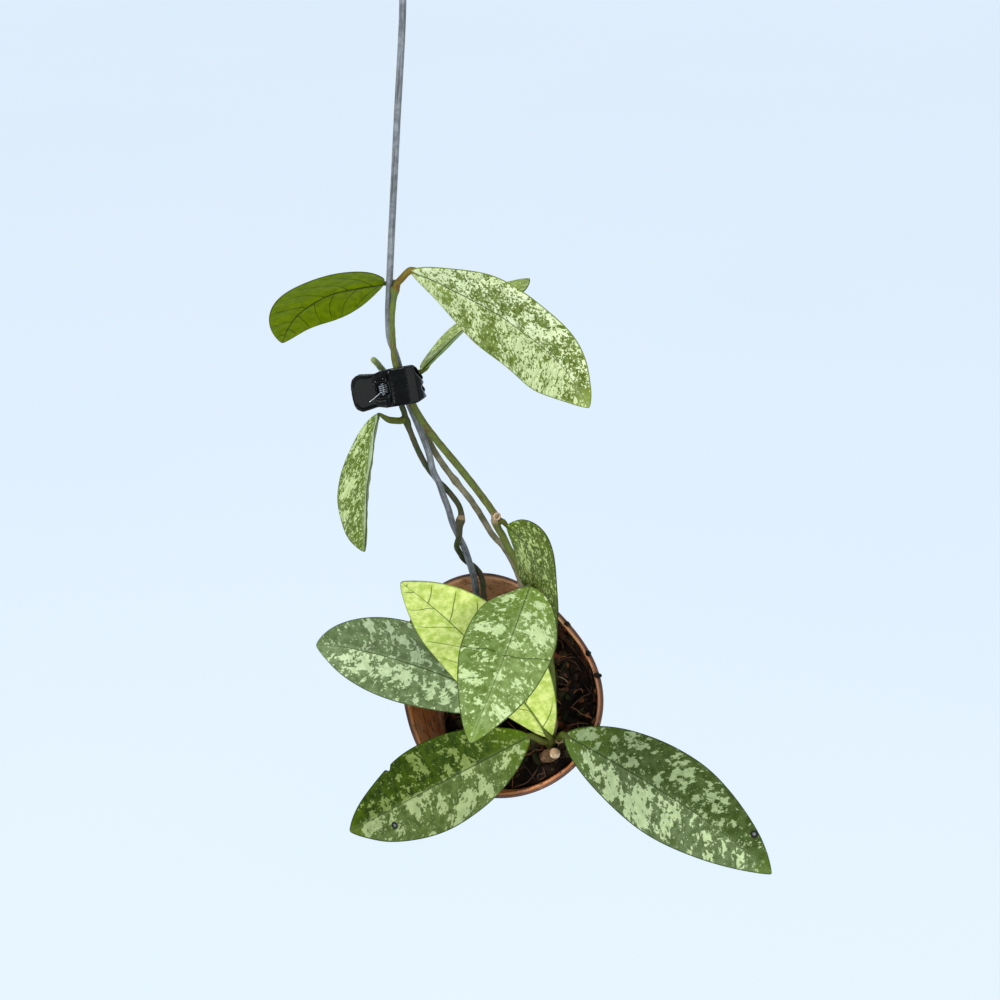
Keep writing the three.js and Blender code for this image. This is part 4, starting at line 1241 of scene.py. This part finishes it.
def make_chips(rng):
    """Chips of husk that lie on the bed, stick to the right wall and lean over the lip."""
    chips = Shape("husk_chips")
    ball = unit_ball()
    for k in range(BED_CHIPS):
        share = math.sqrt(rng.random()) * 0.97
        angle = rng.random() * 2 * math.pi
        size = rng.uniform(1.2, 4.2) * (0.7 if share > 0.9 else 1.0) * (1.9 if k % 16 == 0 else 1.0)
        stretch = Vector((size, size * rng.uniform(0.35, 0.9), size * rng.uniform(0.2, 0.45)))
        middle = surface_point(share * (1 - size * 0.012), angle, rng.uniform(-0.4, 1.2))
        turn = Matrix.Rotation(rng.random() * 6.3, 3, "Z") @ Matrix.Rotation(rng.uniform(-0.5, 0.5), 3, "X")
        add_chip(chips, ball, middle, turn, stretch, 0.45, (k * 3.1, 0, 0), rng.choice((0, 0, 0, 1, 1, 2)))
    for k in range(WALL_CHIPS):
        angle = rng.uniform(0.55, 2.2)
        middle = wall_point(angle, rng.uniform(1.5, 12.0), -POT_WALL - 0.5)
        size = rng.uniform(0.9, 2.2)
        turn = Matrix.Rotation(-angle, 3, "Z")
        stretch = (size, 0.7, size * 1.2)
        add_chip(chips, ball, middle, turn, stretch, 0.5, (k * 2.3, 8.0, 0), rng.choice((0, 0, 1, 2)))
    for angle in LIP_CHIP_ANGLES:
        middle = in_pot(wall_radius(angle, 0.0) + 0.2, angle, 0.6)
        turn = Matrix.Rotation(rng.uniform(-0.6, 0.6), 3, "Y") @ Matrix.Rotation(rng.random() * 6.3, 3, "Z")
        add_chip(chips, ball, middle, turn, LIP_CHIP_SIZE, 0.5, (angle * 9.0, 4.0, 0), 0)
    materials = [
        husk_material("chip_dark", (14, 11, 7), (56, 41, 27)),
        husk_material("chip_mossy", (20, 22, 9), (62, 60, 30), 0.12),
        husk_material("chip_brown", (52, 28, 16), (124, 74, 44)),
    ]
    chips.build(materials)


def make_fibres(rng):
    """Loose coconut fibres and pale roots that lie over the chips."""
    fibres = Shape("husk_fibres")
    for _ in range(FIBRES):
        share = math.sqrt(rng.random()) * 0.93
        angle = rng.random() * 2 * math.pi
        heading = rng.random() * 2 * math.pi
        length = rng.uniform(5.0, 16.0)
        radius = rng.uniform(0.1, 0.22)
        route = []
        for step in range(5):
            lift = rng.uniform(0.6, 2.4) if step not in (0, 4) else -0.3
            shift = Vector((math.cos(heading), math.sin(heading), 0)) * (length * step / 4)
            shift += Vector((rng.uniform(-1, 1), rng.uniform(-1, 1), 0))
            near = POT_FRAME.inverted() @ surface_point(share, angle, lift)
            route.append(settled(near + shift, lift))
        tube(fibres, route, radius, sides=5, step=1.4, slot=rng.choice((0, 0, 0, 1, 1, 1, 1, 2)))
    materials = [
        plain_material("fibre_brown", (112, 66, 38), (150, 98, 60), 400.0, 0.8),
        plain_material("fibre_dark", (54, 34, 22), (84, 54, 34), 400.0, 0.85),
        plain_material("root_pale", (150, 128, 96), (178, 158, 124), 400.0, 0.7),
    ]
    fibres.build(materials)


def settled(local, lift):
    """A point near the bed, moved inside the wall and laid at its height over the bed."""
    angle = math.atan2(local.x, local.y)
    radius = math.hypot(local.x, local.y)
    most = wall_radius(angle, surface_depth(local.x, local.y)) - POT_WALL - 1.2
    if radius > most:
        local = Vector((local.x * most / radius, local.y * most / radius, 0))
    return POT_FRAME @ Vector((local.x, local.y, lift - surface_depth(local.x, local.y)))


# The clip

CLIP_GRAIN = 0.3  # how finely the moulded halves are remeshed
TAB_RIM = [
    (-5.4, -6.2, 6.1), (-8.4, -7.2, 6.5), (-11.3, -8.3, 6.7), (-13.1, -8.9, 5.5), (-13.9, -8.9, 3.3),
    (-14.1, -8.7, 0), (-13.9, -8.9, -3.3), (-13.1, -8.9, -5.5), (-11.3, -8.3, -6.7), (-8.4, -7.2, -6.5),
    (-5.4, -6.2, -6.1),
]
CLAW_RIDGE = [(1.1, -6.7, 7.0), (1.3, -6.9, 0), (1.1, -6.7, -7.0)]
WINDOW_BARS = [[(-5.6, -5.7, 3.3), (0.6, -5.9, 3.3)], [(-5.6, -5.7, -3.3), (0.6, -5.9, -3.3)]]
REAR_WEB = ((-5.4, 3.7, -2.8), (0.9, 5.2, 2.8))
CLIP_PIN_RADIUS = 0.8
PIN_HALF_LENGTH = 7.8
COIL_TURNS = 4
COIL_PARTS = 16  # route points for each turn
COIL_RADIUS = 1.6
COIL_HALF_LENGTH = 1.6
COIL_WIRE_RADIUS = 0.32
SPRING_LEG_ROUTE = [(-3.4, -5.9, -1.2), (-5.6, -6.4, -2.4), (-8.4, -7.5, -4.0)]
SPRING_LEG_RADIUS = 0.3


def clip_matrix():
    pitch = Matrix.Rotation(math.radians(CLIP_PITCH), 4, "X")
    roll = Matrix.Rotation(math.radians(CLIP_ROLL), 4, "Y")
    return Matrix.Translation(Vector(CLIP_CENTRE)) @ pitch @ roll


CLIP_FRAME = clip_matrix()


def on_clip(points):
    return [CLIP_FRAME @ Vector(p) for p in points]


def block(low, high):
    """The corners and faces of a box in the clip's own frame."""
    corners = [(x, y, z) for x in (low[0], high[0]) for y in (low[1], high[1]) for z in (low[2], high[2])]
    faces = [(0, 1, 3, 2), (4, 6, 7, 5), (0, 4, 5, 1), (2, 3, 7, 6), (0, 2, 6, 4), (1, 5, 7, 3)]
    return on_clip(corners), faces


def moulded(piece_name, node, extras, material, body):
    """A rounded copy of a clip half, with its raised details melted into it."""
    work = bmesh.new()
    work.from_mesh(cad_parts[node].data)
    work.from_mesh(extras.mesh())
    mesh = bpy.data.meshes.new(piece_name)
    work.to_mesh(mesh)
    work.free()
    mesh.materials.clear()
    mesh.materials.append(material)
    piece = placed(piece_name, mesh)
    skin = piece.modifiers.new("skin", "REMESH")
    skin.mode = "VOXEL"
    skin.voxel_size = CLIP_GRAIN * MM
    rounding = piece.modifiers.new("rounding", "SMOOTH")
    rounding.factor = 0.5
    rounding.iterations = 14
    bake(piece)
    piece.data.polygons.foreach_set("use_smooth", [True] * len(piece.data.polygons))
    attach(piece, body)
    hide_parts(node)


def coil_route():
    """The spring's turns on the hinge pin."""
    count = COIL_TURNS * COIL_PARTS
    route = []
    for k in range(count + 1):
        angle = 2 * math.pi * k / COIL_PARTS
        height = -COIL_HALF_LENGTH + 2 * COIL_HALF_LENGTH * k / count
        route.append((CLIP_PIN_X + COIL_RADIUS * math.cos(angle), COIL_RADIUS * math.sin(angle), height))
    return route


def make_clip():
    black = black_plastic_material()
    raised = Shape("raised")
    tube(raised, on_clip(TAB_RIM), 0.55, sides=10, step=0.6)
    tube(raised, on_clip(CLAW_RIDGE), 0.75, sides=10, step=0.8)
    for bar in WINDOW_BARS:
        tube(raised, on_clip(bar), 0.5, sides=10, step=0.8)
    moulded("clip_jaw_front", "clip_front", raised, black, JAW)
    web = Shape("web")
    web.add(*block(*REAR_WEB))
    moulded("clip_jaw_rear", "clip_rear", web, black, HANGING)

    steel = steel_material()
    pin_route = [(CLIP_PIN_X, 0, -PIN_HALF_LENGTH), (CLIP_PIN_X, 0, 0), (CLIP_PIN_X, 0, PIN_HALF_LENGTH)]
    for name, route, radius, sides, node, body in (
        ("clip_hinge_pin", pin_route, CLIP_PIN_RADIUS, 20, "clip_pin", HANGING),
        ("clip_coil", coil_route(), COIL_WIRE_RADIUS, 8, "clip_spring", HANGING),
        ("clip_coil_leg", SPRING_LEG_ROUTE, SPRING_LEG_RADIUS, 8, "clip_spring_leg", JAW),
    ):
        shape = Shape(name)
        tube(shape, on_clip(route), radius, sides=sides, step=0.4)
        shape.build([steel], node, body)


# The stage


def make_camera():
    data = bpy.data.cameras.new("view")
    data.lens = LENS
    data.sensor_width = 36.0
    data.clip_end = 20.0
    camera = placed("view", data)
    camera.location = Vector(VIEW_POINT) * MM
    camera.rotation_euler = (math.radians(90 - VIEW_DOWN), 0.0, 0.0)
    bpy.context.scene.camera = camera


def make_floor():
    mesh = bpy.data.meshes.new("floor")
    corners = [(-1, -1), (1, -1), (1, 1), (-1, 1)]
    points = [(x * FLOOR_REACH, y * FLOOR_REACH, FLOOR_HEIGHT) for x, y in corners]
    mesh.from_pydata(points, [], [(0, 1, 2, 3)])
    shader = Shader("floor_pale", Emission_Strength=FLOOR_GLOW)
    tone = shader.noise(shader.position(), 1.5, 2.0)
    shader.set("Emission Color", shader.mix(tone, (224, 239, 254), (228, 242, 255)))
    colour = shader.mix(tone, (120, 126, 132), (122, 128, 134))
    mesh.materials.append(shader.finish(colour, 0.9))
    placed("floor", mesh)


def make_lights():
    for name, location, size, power, target in (
        ("key", (-0.9, -0.7, 1.1), 0.55, 19.0, PLANT_MIDDLE),
        ("front", (0.1, -1.15, -0.15), 0.5, 3.0, (0.02, 0.0, -0.3)),
        ("fill", (1.1, -1.2, 0.5), 1.2, 5.0, PLANT_MIDDLE),
        ("back", (-0.2, 1.1, 0.7), 0.8, 4.0, PLANT_MIDDLE),
    ):
        data = bpy.data.lights.new(name, "AREA")
        data.shape = "DISK"
        data.size = size
        data.energy = power
        lamp = placed(name, data)
        lamp.location = location
        aim = Vector(target) - Vector(location)
        lamp.rotation_euler = aim.to_track_quat("-Z", "Y").to_euler()


def make_world():
    world = bpy.data.worlds.new("studio")
    world.use_nodes = True
    background = world.node_tree.nodes["Background"]
    background.inputs[0].default_value = linear(236, 246, 255)
    background.inputs[1].default_value = SKY_GLOW
    bpy.context.scene.world = world
    bpy.context.scene.view_settings.view_transform = "Standard"


make_camera()
make_world()
make_floor()
make_lights()
make_wire()
make_vines()
make_leaves()
make_pot()
make_medium(random.Random(7))
make_clip()
